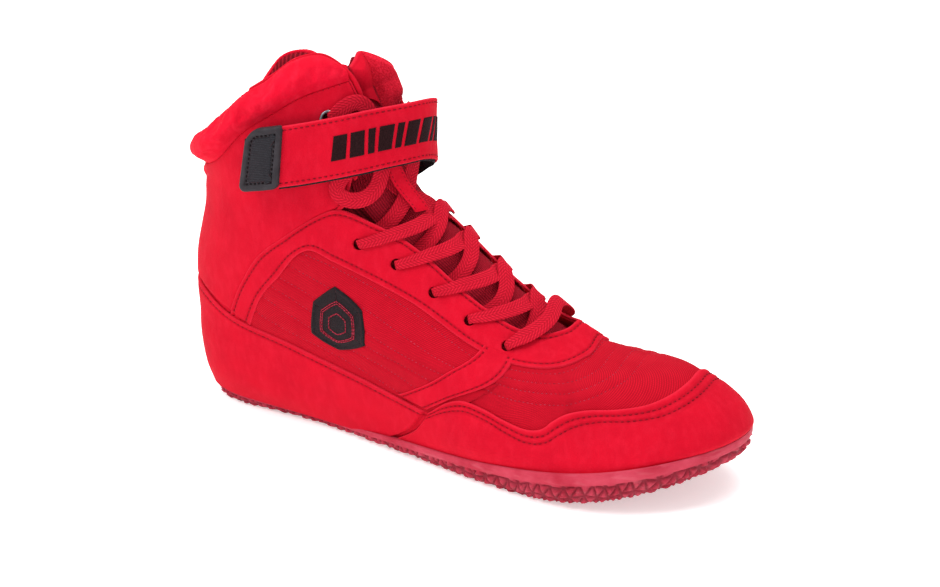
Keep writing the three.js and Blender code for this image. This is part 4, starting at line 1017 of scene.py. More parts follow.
# ---------------------------------------------------------------- collar
COLLAR_RUN = COLLAR_SEAM["lateral"][::-1] + [[u - 1, v] for u, v in COLLAR_SEAM["medial"][1:]]
COLLAR_AT = np.linspace(0, 1, len(COLLAR_RUN))
COLLAR_HEIGHT = [4, 13, 15.5, 14.8, 17, 20, 17.5, 17, 17.5, 19, 24.5, 27.5, 22.5, 18, 16, 13, 6]
COLLAR_BULGE = [1, 3, 4, 4, 4.5, 5.5, 6, 6.5, 6.5, 6, 5.5, 4.5, 4, 4, 4, 3, 1]


def closed_line(points, count):
    """A smooth closed line through points of (across, up), where a point may hold arrays."""
    p = np.asarray(points)
    n = len(p)
    x = np.linspace(0, n, count, endpoint=False)
    i = x.astype(int)
    w = (x - i).reshape(-1, *[1] * (p.ndim - 1))
    a, b, c, d = p[(i - 1) % n], p[i % n], p[(i + 1) % n], p[(i + 2) % n]
    return 0.5 * (2 * b + (c - a) * w + (2 * a - 5 * b + 4 * c - d) * w**2 + (3 * b - a - 3 * c + d) * w**3)


def collar_rings(outline, stations, count, wrinkle=None):
    """Rings of a section (across, up) carried along the collar seam."""
    path = curve(COLLAR_RUN)
    uv = path(stations)
    at = last(uv[:, 0], uv[:, 1])
    _, up, out = frame_at(uv[:, 0], uv[:, 1])
    height, bulge = spread(COLLAR_AT, COLLAR_HEIGHT, stations), spread(COLLAR_AT, COLLAR_BULGE, stations)
    section = closed_line([[a + 0 * height, b + 0 * height] for a, b in outline(height, bulge)], count)
    rings = at[None] + section[:, 0, :, None] * out[None] + section[:, 1, :, None] * up[None]
    if wrinkle is not None:
        rings = rings + wrinkle(section, stations)[..., None] * out[None]
    return rings.transpose(1, 0, 2)


def creases(section, stations):
    """Soft folds low on the roll, strongest at the back of the heel and where the collar turns down."""
    up = section[:, 1]
    outer = smooth((section[:, 0] + 2) / 3)
    folds = 0.5 * np.sin(stations * 95 + up * 0.35) * np.exp(-(((stations - 0.5) / 0.13) ** 2))
    folds = folds + 0.45 * np.sin(stations * 60 - up * 0.5) * np.exp(-(((stations - 0.26) / 0.08) ** 2))
    folds = folds + 0.4 * np.sin(stations * 70 + up * 0.4) * np.exp(-(((stations - 0.76) / 0.08) ** 2))
    return folds * outer * np.exp(-(((up - 5) / 6) ** 2))


def collar():
    skin = lambda h, b: [(-0.9, -1.6), (0.5, -0.2), (b * 0.62, h * 0.1),
                         (b * 0.93, h * 0.26), (b, h * 0.48), (b * 0.8, h * 0.7), (b * 0.2 - 1, h * 0.9),
                         (-3.4, h * 0.985), (-5.6, h * 0.985), (-5.4, h * 0.9),
                         (-3.4, h * 0.88), (b * 0.3 - 2.6, h * 0.72), (b - 2.6, h * 0.48),
                         (b * 0.6 - 2.4, h * 0.2), (-1.8, 0.6)]
    stations = np.linspace(0.0, 1.0, 240)
    rings = collar_rings(skin, stations, 60, creases)
    rings = rings + (undulate(rings, 26, 21) * 0.28)[..., None] * unit(rings - rings.mean(1, keepdims=True))
    piece = link("collar_suede_roll", sweep("collar_suede_roll", rings), PAINTED_LIT_SUEDE, "boot", "suede",
                 ["collar_panel"])
    around = np.arange(60) / 60 * 15
    free = smooth((around - 1.6) / 1.2) * smooth((7.2 - around) / 1.2)
    ends = smooth(np.minimum(stations, 1 - stations) / 0.02)
    held = np.append(1 - (ends[:, None] * free[None]).ravel(), [1, 1])
    inflate(piece, held, cap=2.2, grow=0.018, pressure=4.0, stiffness=6.0)
    body = lambda h, b: [(-2.0, 0.4), (b * 0.5 - 2.2, h * 0.24), (b - 3.0, h * 0.48),
                         (b * 0.2 - 2.6, h * 0.76), (-4.6, h * 0.93), (-6.8, h * 0.93),
                         (-9.0, h * 0.78), (-10.2, h * 0.5), (-10.0, h * 0.22),
                         (-8.8, -1.5), (-6.4, -1.8)]
    rings = collar_rings(body, np.linspace(0.006, 0.994, 330), 48)
    run = travelled(rings.mean(1))
    ribs = 0.32 * np.sin(run * 2 * np.pi / RIB_PITCH)
    rings = rings + ribs[:, None, None] * unit(rings - rings.mean(1, keepdims=True))
    thread = np.stack(np.broadcast_arrays(run[:, None], np.linspace(0, 60, 48)[None]), -1)
    inner = link("collar_lining_roll", sweep("collar_lining_roll", rings, thread), RIB_CLOTH, "boot",
                 "ribbed_lining", ["collar_foam"])
    seam = curve(COLLAR_RUN)(np.linspace(0.03, 0.97, 900))
    out = frame_at(seam[:, 0], seam[:, 1])[2]
    places = point(seam[:, 0], seam[:, 1] - 0.014, np.full(900, -0.35))
    link("collar_stitching", stitch_mesh("collar_stitching", [(places, out)]), SEAM_THREAD, "boot", "suede")


def round_bar(name, path, radius, steps, count=14):
    """A round cord of cloth along points."""
    p = np.asarray(path, float)
    run = travelled(p)
    fine = np.linspace(0, run[-1], steps)
    at = basis(run, fine) @ p
    heading = unit(np.gradient(at, axis=0))
    side_way = unit(np.cross(heading, np.array([0.3, 1.0, 0.2])))
    third = np.cross(heading, side_way)
    a = full_turn(count)
    size = radius * np.sqrt(np.clip(np.minimum(fine, run[-1] - fine) / radius, 0.05, 1))
    rings = at[:, None] + size[:, None, None] * (side_way[:, None] * np.cos(a)[None, :, None]
                                                 + third[:, None] * np.sin(a)[None, :, None])
    thread = np.stack(np.broadcast_arrays(fine[:, None], a[None] * radius), -1)
    return sweep(name, rings, thread)


def front_binding(name, medial):
    forward = -0.008 if medial else 0.008
    uv = np.array(SHAFT_FRONT[name][6:])
    path = list(point(uv[:, 0] + forward, uv[:, 1], np.full(len(uv), -1.2)))
    top = collar_top_line(medial)
    mesh = round_bar("binding", np.array(path + top), 1.25, 150)
    link(f"front_binding_{name}_rolled", mesh, SUEDE, "boot", "suede", ["front_binding_" + name])


def collar_top_line(medial):
    """The binding's run up the collar's front end and along its top, where suede meets lining."""
    stations = np.array([0.02, 0.06, 0.11, 0.17, 0.24])
    if medial:
        stations = 1 - stations
    uv = curve(COLLAR_RUN)(stations)
    at = last(uv[:, 0], uv[:, 1])
    _, up, out = frame_at(uv[:, 0], uv[:, 1])
    h = spread(COLLAR_AT, COLLAR_HEIGHT, stations)
    return list(at + up * (h * 0.97)[:, None] - out * 5.0)


# ---------------------------------------------------------------- tongue
TONGUE_DEPTH = -7.2
TONGUE_HINGE_V = 0.885
TONGUE_EDGE = curve([[0.392, 0.365], [0.385, 0.42], [0.378, 0.5], [0.372, 0.56], [0.375, 0.64], [0.39, 0.72],
                     [0.41, 0.79], [0.428, 0.85], [0.433, TONGUE_HINGE_V - 0.006]])
TONGUE_TOP_EDGE = curve([[0.43, 0.938], [0.452, 0.953], [0.474, 0.966], [0.5, 0.96], [0.536, 0.917],
                         [0.57, 0.872]])


def tongue_lower(inset):
    def at(s, r):
        edge = TONGUE_EDGE(r)
        return np.stack([lerp(edge[..., 0] + inset, 1 - edge[..., 0] - inset, s), edge[..., 1]], -1)
    return at


def tongue_top(start, end, drop=0.0):
    def at(s, r):
        k = lerp(start, end, s)
        edge = TONGUE_TOP_EDGE(k)
        low = TONGUE_HINGE_V - 0.03 - 0.1 * smooth(k)
        return np.stack([lerp(lerp(0.434, 0.566, k), edge[..., 0], r), lerp(low, edge[..., 1] - drop, r)], -1)
    return at


def lean(u, v):
    """How far the inner half of the tongue's top leans forward."""
    return 7.0 * smooth((u - 0.485) / 0.07) * smooth((v - 0.77) / 0.07)


def tongue():
    def ribs(s, r, d):
        inside = d.min(-1)
        rows = np.sin(d[..., 2] * 2 * np.pi / 2.3)
        return 0.22 * rows * smooth((inside - 1) / 3) + 0.5 * smooth(inside / 9)

    panel = Panel(tongue_lower(-0.018), "cc--", (0, 0, 0, 1.2), TONGUE_DEPTH - 0.25, lift=ribs, thickness=1.2,
                  seed=15, uneven=0.25)
    panel.build("tongue_knit", TONGUE_CLOTH, "knit", 1.1, replaces=["tongue_outer"])
    foam = Panel(tongue_lower(0.006), "cccc", (0, 0, 0, 0), TONGUE_DEPTH - 1.5, thickness=2.9, seed=16)
    foam.build("tongue_padding", FOAM, "foam", 2.2, replaces=["tongue_foam"])
    back = lambda u, v: np.full(u.shape, TONGUE_DEPTH - 4.9)
    lining("tongue_ribbed", tongue_lower(0.004), back, ["tongue_lining"], (0, 0, 0, 1.0), 1.5)


def swell(u, v):
    return TONGUE_DEPTH + 2.6 * np.sin(np.pi * np.clip((v - 0.87) / 0.11, 0, 1)) + lean(u, v)


def tongue_top_pieces():
    """The padded top of the tongue: its suede, fleece band, foam and lining, each built in place."""
    hinge = np.array(point(0.5, TONGUE_HINGE_V, -8.0))
    start, end = tuple((hinge - [0, 0, 1]) * MM), tuple((hinge + [-2, 0, 15]) * MM)
    plump = lambda amount: lambda s, r, d: amount * smooth(d[..., [0, 1, 3]].min(-1) / 5.5)
    made = []
    parts = (("tongue_top_suede", (0, 0.455), SUEDE, "suede", 1.7, "tongue_top_panel", 0.2),
             ("tongue_top_fleece", (0.455, 1), FLEECE, "knit", 2.3, "tongue_top_band", 0.35))
    for name, (a, b), material, slot, plumpness, node, uneven in parts:
        panel = Panel(tongue_top(a, b), "cc-c", (0.4, 0.4, 1.0, 1.0), swell, lift=plump(plumpness),
                      thickness=1.5, seed=len(name), uneven=uneven, drop=1.6)
        made.append(panel.build(name, material, slot, 1.0, None, [node]))
    below = lambda u, v: swell(u, v) - 1.6
    foam = Panel(tongue_top(0.06, 0.94, 0.01), "cccc", (0, 0, 0, 0), below, thickness=3.2, seed=18)
    made.append(foam.build("tongue_top_padding", FOAM, "foam", 2.0, None, ["tongue_top_foam"]))
    back = lambda u, v: TONGUE_DEPTH - 4.6 + lean(u, v)
    inner = Panel(tongue_top(0.07, 0.97, 0.01), "cc-c", (0.5, 0.5, 1.0, 0.8), back, thickness=1.0, seed=19)
    made.append(inner.build("tongue_top_ribbed", RIB_CLOTH, "ribbed_lining", 1.4, None,
                            ["tongue_top_lining"]))
    for piece in made:
        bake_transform(piece)
        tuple(start)
        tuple(end)
    for piece in made[:3]:
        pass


# ---------------------------------------------------------------- ribbons: lace, keeper, strap
def ribbon(name, at, across, normal, width, thickness, count=18, crown=0.0, power=0.55):
    """A flat band with rounded edges along stations."""
    a = full_turn(count)
    c, s = np.cos(a), np.sin(a)
    flat = np.sign(c) * np.abs(c) ** power * 0.5
    tall = np.sign(s) * np.abs(s) ** 0.45 * 0.5
    w, t = np.broadcast_to(width, len(at)), np.broadcast_to(thickness, len(at))
    rings = (at[:, None] + across[:, None] * (flat[None] * w[:, None])[..., None]
             + normal[:, None] * (tall[None] * t[:, None] + crown * (0.25 - flat[None] ** 2) * 4)[..., None])
    run = travelled(at)
    thread = np.stack(np.broadcast_arrays(run[:, None], flat[None] * w[:, None]), -1)
    return sweep(name, rings, thread)


KEEPER_U = 0.438
KEEPER_PATH = [[0.596, -1.4], [0.6, -0.4], [0.607, 0.4], [0.613, 0.8], [0.622, 1.0], [0.636, 0.9],
               [0.654, 0.8], [0.684, 0.3], [0.692, -1], [0.7, -5.0], [0.706, -6.0]]


def lace_keeper():
    t = np.linspace(0, 1, 90)
    line_at = curve(KEEPER_PATH)(t)
    u = np.full(len(t), KEEPER_U)
    at = point(u, line_at[:, 0], line_at[:, 1])
    along = frame_at(u, line_at[:, 0])[0]
    heading = unit(np.gradient(at, axis=0))
    normal = unit(np.cross(along, heading))
    width = 6.9 + 0.4 * np.sin(t * np.pi)
    mesh = ribbon("lace_keeper_suede", at, along, normal, width, 1.25, 24, 0.12)
    link("lace_keeper_suede", mesh, SUEDE, "boot", "suede", ["lace_keeper"])
    rows = []
    for k in (-0.5, 0.5):
        keep = slice(6, 66)
        rows.append((at[keep] + along[keep] * k * 5.1 + normal[keep] * 0.62, normal[keep]))
    mesh = stitch_mesh("keeper_stitching", rows, 2.0, 0.2)
    link("lace_keeper_stitching", mesh, SEAM_THREAD, "boot", "suede")


LACE_WIDTH = 7.4
UNDER, OVER = -5.9, 0.95
LOW_CROSS, HIGH_CROSS = -5.1, -2.4
BEHIND_HOLE, IN_HOLE = -5.7, -4.4
NARROW = LACE_WIDTH * 0.58
THROAT_V = [0.4, 0.42, 0.456, 0.49, 0.52, 0.555, 0.582, 0.61, 0.67, 0.73, 0.79, 0.85]
THROAT_U = [0.43, 0.4, 0.389, 0.384, 0.381, 0.372, 0.357, 0.34, 0.362, 0.385, 0.404, 0.417]


def eyelet(k, medial):
    if k == len(EYELETS):
        return TOP_EYELET["medial" if medial else "lateral"]
    u, v = EYELETS[k]
    return [1 - u, v] if medial else [u, v]


def span_of(a, b):
    return float(np.linalg.norm(last(*a) - last(*b)))


def edge_distance(start, end):
    """How far along from one (u, v) to another the edge of the facing is passed."""
    t = np.arange(0, 1, 0.02)
    u, v = lerp(start[0], end[0], t), lerp(start[1], end[1], t)
    passed = np.minimum(u, 1 - u) > spread(THROAT_V, THROAT_U, v)
    return t[np.argmax(passed)] * span_of(start, end) if passed.any() else span_of(start, end) * 0.5


def route(stops, keys):
    """Stations (u, v, depth, width) along rounded turns through the stops, from values at distances."""
    lengths = np.cumsum([0] + [span_of(a, b) for a, b in zip(stops, stops[1:])])
    stations = []
    for i, (distance, h, width) in enumerate(keys):
        before, h0, width0 = keys[max(0, i - 1)]
        parts = max(1, int(np.ceil((distance - before) / 3.5)))
        for k in range(parts if i == 0 else 1, parts + 1):
            t = k / parts
            d = lerp(before, distance, t)
            near = d + min(d, lengths[-1] - d, 6.0) * np.linspace(-1, 1, 9)
            u, v = (np.interp(near, lengths, [stop[axis] for stop in stops]).mean() for axis in (0, 1))
            stations.append((u, v, lerp(h0, h, t), lerp(width0, width, t)))
    return stations


def strand(start, end, hub, end_over, cross):
    """From below one eyelet, out past the edge of the facing, over the tongue and to the eyelet opposite."""
    first = span_of(start, hub)
    total = first + span_of(hub, end)
    leaving = max(6, edge_distance(start, hub) + 1.5)
    arriving = total - max(6, edge_distance(end, hub) + 1)
    finish, last_h, end_h = (OVER, 0.45, -1.2) if end_over else (UNDER, BEHIND_HOLE, IN_HOLE)
    midway = (cross + finish) / 2
    if cross == HIGH_CROSS:
        midway = cross - 0.7 if end_over else midway + 4.5
    return route([start, hub, end], [
        (0, IN_HOLE, NARROW), (1.3, BEHIND_HOLE, NARROW), (4.8, UNDER, LACE_WIDTH),
        (leaving, UNDER, LACE_WIDTH),
        (first - 4, cross, LACE_WIDTH), (first + 4, cross, LACE_WIDTH),
        ((first + 4 + arriving) / 2, midway, LACE_WIDTH), (arriving, finish, LACE_WIDTH * 0.86),
        (total - 4.6, finish - 0.15, LACE_WIDTH * 0.72), (total - 1.3, last_h, NARROW),
        (total, end_h, NARROW)])


def crossing(start, end):
    """Where a straight pull from one eyelet to another passes over the middle of the tongue."""
    v = np.linspace(0.36, 0.72, 361)
    u = np.full(len(v), 0.5)
    gap = (last(*start) + last(*end)) / 2 - last(u, v)
    out = frame_at(u, v)[2]
    gap = gap - out * (gap * out).sum(1, keepdims=True)
    return [0.5, v[np.argmin(np.linalg.norm(gap, axis=1))]]


def lace_half(medial):
    run = []
    for k in range(len(EYELETS)):
        on_medial = medial == (k % 2 == 0)
        start, end = eyelet(k, on_medial), eyelet(k + 1, not on_medial)
        at_top = k == len(EYELETS) - 1
        hub = [KEEPER_U, 0.627] if at_top else crossing(start, end)
        run += strand(start, end, hub, not at_top, LOW_CROSS if on_medial else HIGH_CROSS)
    return run


LOOSE_LOOP = [[0.398, 0.858], [0.424, 0.85], [0.43, 0.8], [0.405, 0.73], [0.362, 0.7], [0.341, 0.668],
              [0.346, 0.64], [0.366, 0.63], [0.388, 0.637], [0.41, 0.66], [0.424, 0.7]]


def lace_end(medial):
    """The lace past its top eyelet: short on the inner side, a loose loop on the outer side."""
    start = eyelet(len(EYELETS), medial)
    stops = [start] + ([[0.585, 0.775], [0.535, 0.772]] if medial else LOOSE_LOOP)
    total = sum(span_of(a, b) for a, b in zip(stops, stops[1:]))
    keys = [(0, -0.7, NARROW), (1.2, 1.5, NARROW), (5.5, 2.1, LACE_WIDTH)]
    if not medial:
        rise = ((0.45, 2.0), (0.6, 2.6), (0.72, 2.8), (0.86, 2.0))
        keys += [(total * share, h, LACE_WIDTH) for share, h in rise]
    return route(stops, keys + [(total, 2.1, LACE_WIDTH)])


def lace():
    """One flat lace: a bar across the toe end, then crossing up to the top eyelets."""
    hub = crossing(eyelet(0, False), eyelet(0, True))
    total = span_of(eyelet(0, False), hub) + span_of(hub, eyelet(0, True))
    bar = route([eyelet(0, False), hub, eyelet(0, True)], [
        (0, -0.7, NARROW), (1.3, 0.9, NARROW), (5, 1.8, LACE_WIDTH), (total - 5, 1.8, LACE_WIDTH),
        (total - 1.3, 0.9, NARROW), (total, -0.7, NARROW)])
    run = np.array(lace_end(True)[::-1] + lace_half(False)[::-1] + bar + lace_half(True) + lace_end(False))
    keep = np.concatenate([[True], np.linalg.norm(np.diff(run[:, :2], axis=0), axis=1) > 1e-6])
    keep |= np.concatenate([[True], np.abs(np.diff(run[:, 2])) > 0.3])
    run = run[keep]
    places = point(run[:, 0], run[:, 1], run[:, 2])
    out = frame_at(run[:, 0], run[:, 1])[2]
    order = np.arange(len(run))
    heading = unit(places[np.minimum(order + 1, len(run) - 1)] - places[np.maximum(order - 1, 0)])
    across = []
    for i in range(len(run)):
        flat = np.cross(out[i], heading[i])
        if across:
            trust = np.linalg.norm(flat)
            flat = (-flat if flat @ across[-1] < 0 else flat) + across[-1] * (1.05 - trust)
        flat = flat - heading[i] * (flat @ heading[i])
        across.append(flat / np.linalg.norm(flat))
    across = np.array(across)
    run_mm = travelled(places)
    fine = np.arange(0, run_mm[-1], 0.8)
    weights = basis(run_mm, fine)
    at, width = weights @ places, np.interp(fine, run_mm, run[:, 3])
    side_way = unit(weights @ across)
    soft = np.convolve(np.pad(width, 4, mode="edge"), np.ones(9) / 9, "valid")
    heading = unit(np.gradient(at, axis=0))
    side_way = unit(side_way - heading * (side_way * heading).sum(1, keepdims=True))
    normal = np.cross(heading, side_way)
    sway = 0.35 * np.sin(fine / 9.0 + 1.0) + 0.25 * np.sin(fine / 5.3)
    at = at + side_way * sway[:, None]
    thick = 0.95 * np.sqrt(LACE_WIDTH / soft)
    mesh = ribbon("lace_braided", at, side_way, normal, soft, thick, 22, 0.05, 0.5)
    link("lace_braided", mesh, LACE_CLOTH, "boot", "webbing", ["lace"])


RING_RADIUS, WIRE_WIDE, WIRE_HIGH = 3.4, 0.75, 0.5


def top_eyelets():
    for name, _ in SIDES:
        u, v = TOP_EYELET[name]
        along, up, out = frame_at(u, v)
        centre = last(u, v)
        ring = full_turn(48)
        section = full_turn(12)
        rings = []
        for a in ring:
            radial = along * np.cos(a) + up * np.sin(a)
            rings.append([centre + radial * (RING_RADIUS + WIRE_WIDE * np.cos(b))
                          + out * (0.15 + WIRE_HIGH * np.sin(b)) for b in section])
        rings = np.array(rings)
        i = np.arange(rings.shape[0] * rings.shape[1]).reshape(rings.shape[:2])
        n, m = np.roll(i, -1, 0), np.roll(i, -1, 1)
        quads = np.stack([i, n, np.roll(n, -1, 1), m], -1).reshape(-1, 4)
        mesh = make_mesh("eyelet", rings.reshape(-1, 3), quads)
        link(f"top_eyelet_{name}_ring", mesh, METAL, "boot", "eyelet_metal", ["top_eyelet_" + name])


# ---------------------------------------------------------------- strap
STRAP_PATH = np.array([
    [0.238, 0.803, 4.7], [0.27, 0.792, 4.7], [0.305, 0.779, 4.7], [0.34, 0.767, 5], [0.38, 0.755, 6],
    [0.42, 0.745, 8], [0.46, 0.734, 9.2], [0.5, 0.726, 9.6], [0.54, 0.719, 9.2], [0.58, 0.71, 8.2],
    [0.62, 0.702, 6.8], [0.66, 0.685, 5.0], [0.7, 0.672, 3.2], [0.74, 0.634, 1.6], [0.77, 0.6, 0.6]])
STRAP_WIDTH = 28.0
STRAP_SKEW = 0.4
# Shares of the path from the loose end, and half the stretch round each joint.
TAB_END, FLAP_START, PEEL_AT, SPLIT_AT, WRAP_AT = 0.115, 0.112, 6 / 14, 0.535, 9 / 14
BEND_HALF = 0.045


def centripetal(points):
    p = np.asarray(points, float)
    n = len(p)
    e = np.vstack([2 * p[0] - p[1], p, 2 * p[-1] - p[-2]])

    def at(t):
        x = np.asarray(t, float) * (n - 1)
        i = np.clip(np.floor(x).astype(int), 0, n - 2)
        w = (x - i)[..., None]
        p0, p1, p2, p3 = e[i], e[i + 1], e[i + 2], e[i + 3]
        d0, d1, d2 = (np.sqrt(np.linalg.norm(b - a, axis=-1, keepdims=True))
                      for a, b in ((p0, p1), (p1, p2), (p2, p3)))
        m1 = ((p1 - p0) / d0 - (p2 - p0) / (d0 + d1) + (p2 - p1) / d1) * d1
        m2 = ((p2 - p1) / d1 - (p3 - p1) / (d1 + d2) + (p3 - p2) / d2) * d1
        return ((2 * w**3 - 3 * w**2 + 1) * p1 + (w**3 - 2 * w**2 + w) * m1
                + (3 * w**2 - 2 * w**3) * p2 + (w**3 - w**2) * m2)
    return at


strap_line = centripetal(point(STRAP_PATH[:, 0], STRAP_PATH[:, 1], STRAP_PATH[:, 2]))
strap_place = centripetal(STRAP_PATH[:, :2])
STRAP_SHARES = np.linspace(0, 1, 801)
STRAP_RUN = travelled(strap_line(STRAP_SHARES))


def strap_frame(t):
    t = np.asarray(t, float)
    heading = unit(strap_line(t + 1e-3) - strap_line(t - 1e-3))
    uv = strap_place(t)
    flat = frame_at(uv[..., 0], uv[..., 1])[2]
    flat = unit(flat - heading * (flat * heading).sum(-1, keepdims=True))
    level = unit(np.cross(heading, np.array([0.0, 0, 1])))
    normal = unit(lerp(level, flat, smooth((t - 0.72) / 0.2)[..., None]))
    across = unit(np.cross(normal, heading)) + heading * (STRAP_SKEW * (1 - smooth(t / 0.35)))[..., None]
    return strap_line(t), across, normal


def strap_point(t, b, h):
    at, across, normal = strap_frame(t)
    return at + across * np.asarray(b)[..., None] + normal * np.asarray(h)[..., None]


def strap_share(mm):
    """The share of the path that lies a distance along it from its loose end."""
    return np.interp(mm, STRAP_RUN, STRAP_SHARES)


def strap_layer(name, start, end, half, low, high, material, slot, seed, shift=0.0, roll=1.0):
    steps = max(8, int((end - start) * 230))
    t = np.linspace(start, end, steps)
    edge = np.array([0, 0.08, 0.25, 0.5, 0.9, 1.4, 2.0])
    b = np.concatenate([-half + edge, np.linspace(-half + 2.8, half - 2.8, 22), (half - edge)[::-1]])
    tt, bb = np.meshgrid(t, b, indexing="ij")
    inside = half - np.abs(bb)
    x = np.clip(inside / roll, 0, 1)
    down = (high - low) * 0.45 * (1 - np.sqrt(np.maximum(1 - (1 - x) ** 2, 0)))
    at = strap_point(tt, bb + shift, np.zeros(tt.shape))
    soft = 0.35 * undulate(at, 30, seed) * smooth(inside / 5)
    groove = 0.3 * np.exp(-(((inside - 1.9) / 0.5) ** 2)) if roll >= 1 else 0
    top = strap_point(tt, bb + shift, high - down + soft * 0.5 - groove)
    under = strap_point(tt, bb + shift, low + down * 0.8 + soft * 0.5)
    thread = np.stack([travelled(strap_line(t))[:, None] + 0 * bb, bb], -1)
    # cut: near the strap's rolled edges, where the suede finish paints a highlight
    cut = 1 - smooth(inside / 1.0)
    return link(name, shell(name, top, under, thread, cut), material, None, slot)


def strap_rows(name, start, end, half):
    t = np.linspace(start, end, 500)
    normal = strap_frame(t)[2]
    high = np.full(len(t), 0.95)
    rows = [(strap_point(t, np.full(len(t), k * (half - 1.9)), high), normal) for k in (-1, 1)]
    return link(name, stitch_mesh(name, rows), SEAM_THREAD, None, "suede")


def strap():
    """Two lengths that meet at the front."""
    half = STRAP_WIDTH / 2
    lengths = (
        ("strap_rear", SPLIT_AT, 1.0, ("boot", "strap_front_body"), WRAP_AT, ["strap_base", "strap_front"]),
        ("strap_end", FLAP_START, SPLIT_AT, ("strap_front_body", "strap_end_body"), PEEL_AT, ["strap_flap"]))
    for name, start, end, bodies, bend, nodes in lengths:
        back = (half + 0.2, -1.15, -0.45, TAPE, "hook_tape", 31, -0.9, 0.6)
        pieces = [strap_layer(name + "_suede", start, end, half, -0.35, 1.15, SUEDE, "suede", 31),
                  strap_layer(name + "_backing", start, end, *back),
                  strap_rows(name + "_stitching", start, end, half)]
        if name == "strap_end":
            pieces.append(strap_print())
        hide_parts(*nodes)
        a, b = (tuple(strap_line(np.array(t)) * MM) for t in (bend + BEND_HALF, bend - BEND_HALF))
        for piece in pieces:
            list(bodies)
            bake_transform(piece)
            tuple(a)
            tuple(b)


PRINT_START, PRINT_HALF, PRINT_SLANT = 43.5, 5.6, 1.4
PRINT_BARS = [6.5, 6.5, 3.0, 6.5, 3.0, 6.5, 6.5, 3.0, 6.5]
PRINT_GAP = 1.7
PRINT_TOP, PRINT_FOOT = 1.42, 1.0


def strap_print():
    """A plain row of slanting blocks, wide and narrow, printed on the strap."""
    a, b = np.meshgrid(np.linspace(0, 1, 8), np.linspace(-1, 1, 12), indexing="ij")
    vertices, quads, x = [], [], PRINT_START
    for block, width in enumerate(PRINT_BARS):
        t = strap_share(x + a * width + b * PRINT_SLANT)
        for high in (PRINT_TOP, PRINT_FOOT):
            vertices.append(strap_point(t, b * PRINT_HALF, np.full(t.shape, high)).reshape(-1, 3))
        quads.append(slab_faces(*a.shape) + 2 * block * a.size)
        x += width + PRINT_GAP
    mesh = make_mesh("strap_print", np.concatenate(vertices), np.concatenate(quads))
    return link("strap_print_blocks", mesh, PRINT, None, "embroidery")


def rounded_outline(length, half, radii, count=14):
    """A rectangle from 0 to length and -half to half with four corner radii, walked round once."""
    centres = [(radii[0], -half + radii[0]), (length - radii[1], -half + radii[1]),
               (length - radii[2], half - radii[2]), (radii[3], half - radii[3])]
    points = []
    for k, ((x, y), r) in enumerate(zip(centres, radii)):
        for a in np.linspace(np.pi + k * np.pi / 2, np.pi * 1.5 + k * np.pi / 2, count):
            points.append([x + r * np.cos(a), y + r * np.sin(a)])
    p = np.array(points)
    ring = np.vstack([p, p[:1]])
    run = travelled(ring)
    even = np.linspace(0, run[-1], 161)[:-1]
    return np.stack([np.interp(even, run, ring[:, k]) for k in (0, 1)], -1)


def inward(outline, distance):
    tangent = unit(np.roll(outline, -1, 0) - np.roll(outline, 1, 0))
    return outline + np.stack([-tangent[:, 1], tangent[:, 0]], -1) * distance


def disc(name, outline, profile, place, fill_rings=5, fill_height=0.0):
    """A closed plate inside an outline. Its profile of (inward distance, height) goes from below to above."""
    rings, flat = [], []
    middle = outline.mean(0)

    def add(xy, h):
        rings.append(place(xy[:, 0], xy[:, 1], np.full(len(xy), h)))
        flat.append(xy)

    base = inward(outline, profile[0][0])
    for share in (0.02, 0.5):
        add(middle + (base - middle) * share, profile[0][1])
    for distance, h in profile:
        add(inward(outline, distance), h)
    last_ring = inward(outline, profile[-1][0])
    for share in np.linspace(1, 0.02, fill_rings + 1)[1:]:
        h = profile[-1][1] + fill_height * (1 - share**2)
        add(middle + (last_ring - middle) * share, h)
    return sweep(name, np.array(rings), np.array(flat))


def strap_tab():
    """Moulded grip: a raised rim, a stitched channel and an inset panel."""
    length = float(np.interp(TAB_END, STRAP_SHARES, STRAP_RUN))
    place = lambda x, y, h: strap_point(strap_share(x), y, h)
    outline = rounded_outline(length, STRAP_WIDTH / 2 + 0.4, (4.2, 2.8, 2.6, 7.0))
    profile = [(0.9, -1.25), (0.25, -1.0), (0, -0.4), (0, 1.7), (0.2, 2.5), (0.7, 3.05), (1.4, 3.2),
               (2.5, 3.15), (2.9, 2.9), (3.1, 2.35), (3.5, 2.2), (4.0, 2.2), (4.3, 2.3)]
    link("strap_tab_rim", disc("tab", outline, profile, place), MOULDED, "strap_end_body", "moulded_tab",
         ["strap_tab"])
    inlay = [(4.45, 2.1), (4.2, 2.4), (4.35, 2.62), (4.8, 2.75), (5.6, 2.78)]
    inset = disc("inlay", outline, inlay, place)
    link("strap_tab_inlay", inset, PANEL_GREY, "strap_end_body", "moulded_tab")
    seam = inward(outline, 3.62)
    seam = np.vstack([seam, seam[:1]])
    fine = np.linspace(0, len(seam) - 1, 1200)
    xy = np.stack([np.interp(fine, np.arange(len(seam)), seam[:, k]) for k in (0, 1)], -1)
    places = place(xy[:, 0], xy[:, 1], np.full(len(xy), 2.25))
    normal = strap_frame(strap_share(xy[:, 0]))[2]
    mesh = stitch_mesh("tab_stitching", [(places, normal)], 2.1, 0.36)
    link("strap_tab_stitching", mesh, BLACK_THREAD, "strap_end_body", "moulded_tab")


